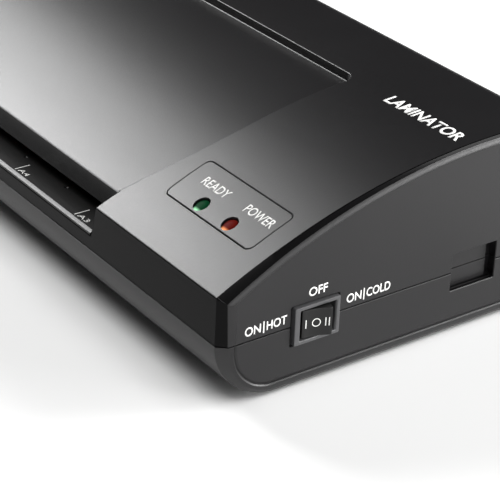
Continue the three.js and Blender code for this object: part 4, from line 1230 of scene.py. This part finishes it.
marks = [bar(-4.2, -1.6, 0.35, 3.2), bar(3.0, -1.6, 0.35, 3.2), bar(4.2, -1.6, 0.35, 3.2)]
marks += ring_polygons((-0.15, 0), 1.6, 1.28)
lay_print("rocker_marks", shape_mesh(marks), on_rocker, body="switch_rocker")

# ---- Mains inlet ----


def build_inlet():
    rear = HALF_DEPTH - GAP
    levels = [(rear - 16.7, -0.3, 0.6), (rear - 0.35, -0.3, 0.6), (rear, -0.65, 0.8), (rear, -1.35, 0.8),
              (rear - 0.3, -1.75, 0.8), (rear - 12.7, -1.75, 0.8)]
    rings = []
    for y, offset, corner in levels:
        half_x, half_z = INLET_HALF_X + offset, INLET_HALF_Z + offset
        outline = rounded_rectangle(half_x, half_z, corner, 4, (INLET_X, INLET_Z))
        rings.append([(x, y, z) for x, z in outline])
    inlet = loft("mains_socket", rings)
    for offset in (-3.3, 3.3):
        pin = [(1.2, -14), (1.2, -3.9), (0.9, -3.3), (0.4, -3.0)]
        combine(inlet, lathe("pin", pin, (INLET_X + offset, HALF_DEPTH, INLET_Z), "y", 20), "UNION")
    return inlet


finish_piece(build_inlet(), SWITCH, replaces=["mains_inlet"])

# ---- Feet and screws ----


def build_foot(name, x, y):
    top, peg_top = FOOT_HEIGHT - GAP, FOOT_HEIGHT + WALL + 1.5
    profile = [(0.5, 0.35), (4.4, 0.35), (4.8, 0.0), (6.1, 0.0), (6.75, 0.25), (FOOT_RADIUS, 0.75)]
    profile += [(FOOT_RADIUS, top), (FOOT_PEG_RADIUS, top), (FOOT_PEG_RADIUS, peg_top - 0.4), (1.5, peg_top)]
    return lathe(name, profile, (x, y, 0), sides=40)


def build_screw(name, x, y):
    head = FOOT_HEIGHT + COUNTERBORE_DEPTH - GAP
    profile = [(0.6, head - 1.9), (1.8, head - 1.8), (2.6, head - 1.45), (3.0, head - 0.9)]
    profile += [(3.0, head - 0.1), (2.9, head), (SCREW_RADIUS, head)]
    for i in range(11):
        profile += [(SCREW_RADIUS, head + 0.8 + i), (SCREW_RADIUS - 0.3, head + 1.3 + i)]
    profile += [(0.3, head + 12)]
    screw = lathe(name, profile, (x, y, 0), sides=28)
    arm, half = 1.7, 0.35
    cross = []
    for a, b in ((1, 1), (-1, 1), (-1, -1), (1, -1)):
        corner = [(a * arm, b * half), (a * half, b * half), (a * half, b * arm)]
        cross += corner if a == b else corner[::-1]
    rings = []
    for z, share in ((head - 3, 1.1), (head - 1.9, 1.0), (head - 0.7, 0.45)):
        rings.append([(x + a * share, y + b * share, z) for a, b in cross])
    combine(screw, loft("cross", rings))
    return screw


for number, (x, y) in enumerate(FEET, 1):
    foot = build_foot(f"rubber_foot_{number}", x, y)
    finish_piece(foot, RUBBER, replaces=[f"foot_{number}"])
for number, (x, y) in enumerate(SCREWS, 1):
    screw = build_screw(f"cross_screw_{number}", x, y)
    finish_piece(screw, STEEL, replaces=[f"casing_screw_{number}"])

# ---- Finishes of the CAD nodes that stay ----
# The first word that a node's name holds gives its finish.
NODE_FINISHES = (
    ("axle", STEEL), ("pinion", NYLON), ("gear", NYLON), ("motor", SHEET), ("sleeve", SILICONE),
    ("shaft", STEEL), ("tie_bar", STEEL), ("spring", STEEL), ("bush", BUSHING), ("side_frame", SHEET),
    ("shield", SHEET), ("plate", ALUMINIUM), ("board", CIRCUIT), ("lead", WIRE), ("thermostat", CERAMIC),
)
for name, node in frame["nodes"].items():
    if not node.hide_render:
        mesh = node.data
        mesh.materials.clear()
        mesh.materials.append(next(finish for word, finish in NODE_FINISHES if word in name))
        mesh.polygons.foreach_set("use_smooth", [True] * len(mesh.polygons))
        mesh.set_sharp_from_angle(angle=radians(35))

# ---- Stage ----


def build_floor():
    half = 9.0  # in metres, as nothing here goes through finish_piece
    corners = [(-half, -half, 0), (half, -half, 0), (half, half, 0), (-half, half, 0)]
    mesh = bpy.data.meshes.new("floor")
    mesh.from_pydata(corners, [], [(0, 1, 2, 3)])
    floor = bpy.data.objects.new("floor", mesh)
    bpy.context.scene.collection.objects.link(floor)
    n = Nodes("floor_sheet")
    n.set(Base_Color=n.mix(n.noise(3, 2), (0.80, 0.80, 0.80), (0.82, 0.82, 0.815)))
    n.set(Roughness=0.85, Specular_IOR_Level=0.2)
    mesh.materials.append(n.material)


build_floor()
world = bpy.context.scene.world or bpy.data.worlds.new("world")
bpy.context.scene.world = world
world.use_nodes = True
world.node_tree.nodes["Background"].inputs["Color"].default_value = (1, 1, 1, 1)
world.node_tree.nodes["Background"].inputs["Strength"].default_value = WORLD_STRENGTH
for light in LIGHTS:
    area_light(*light)
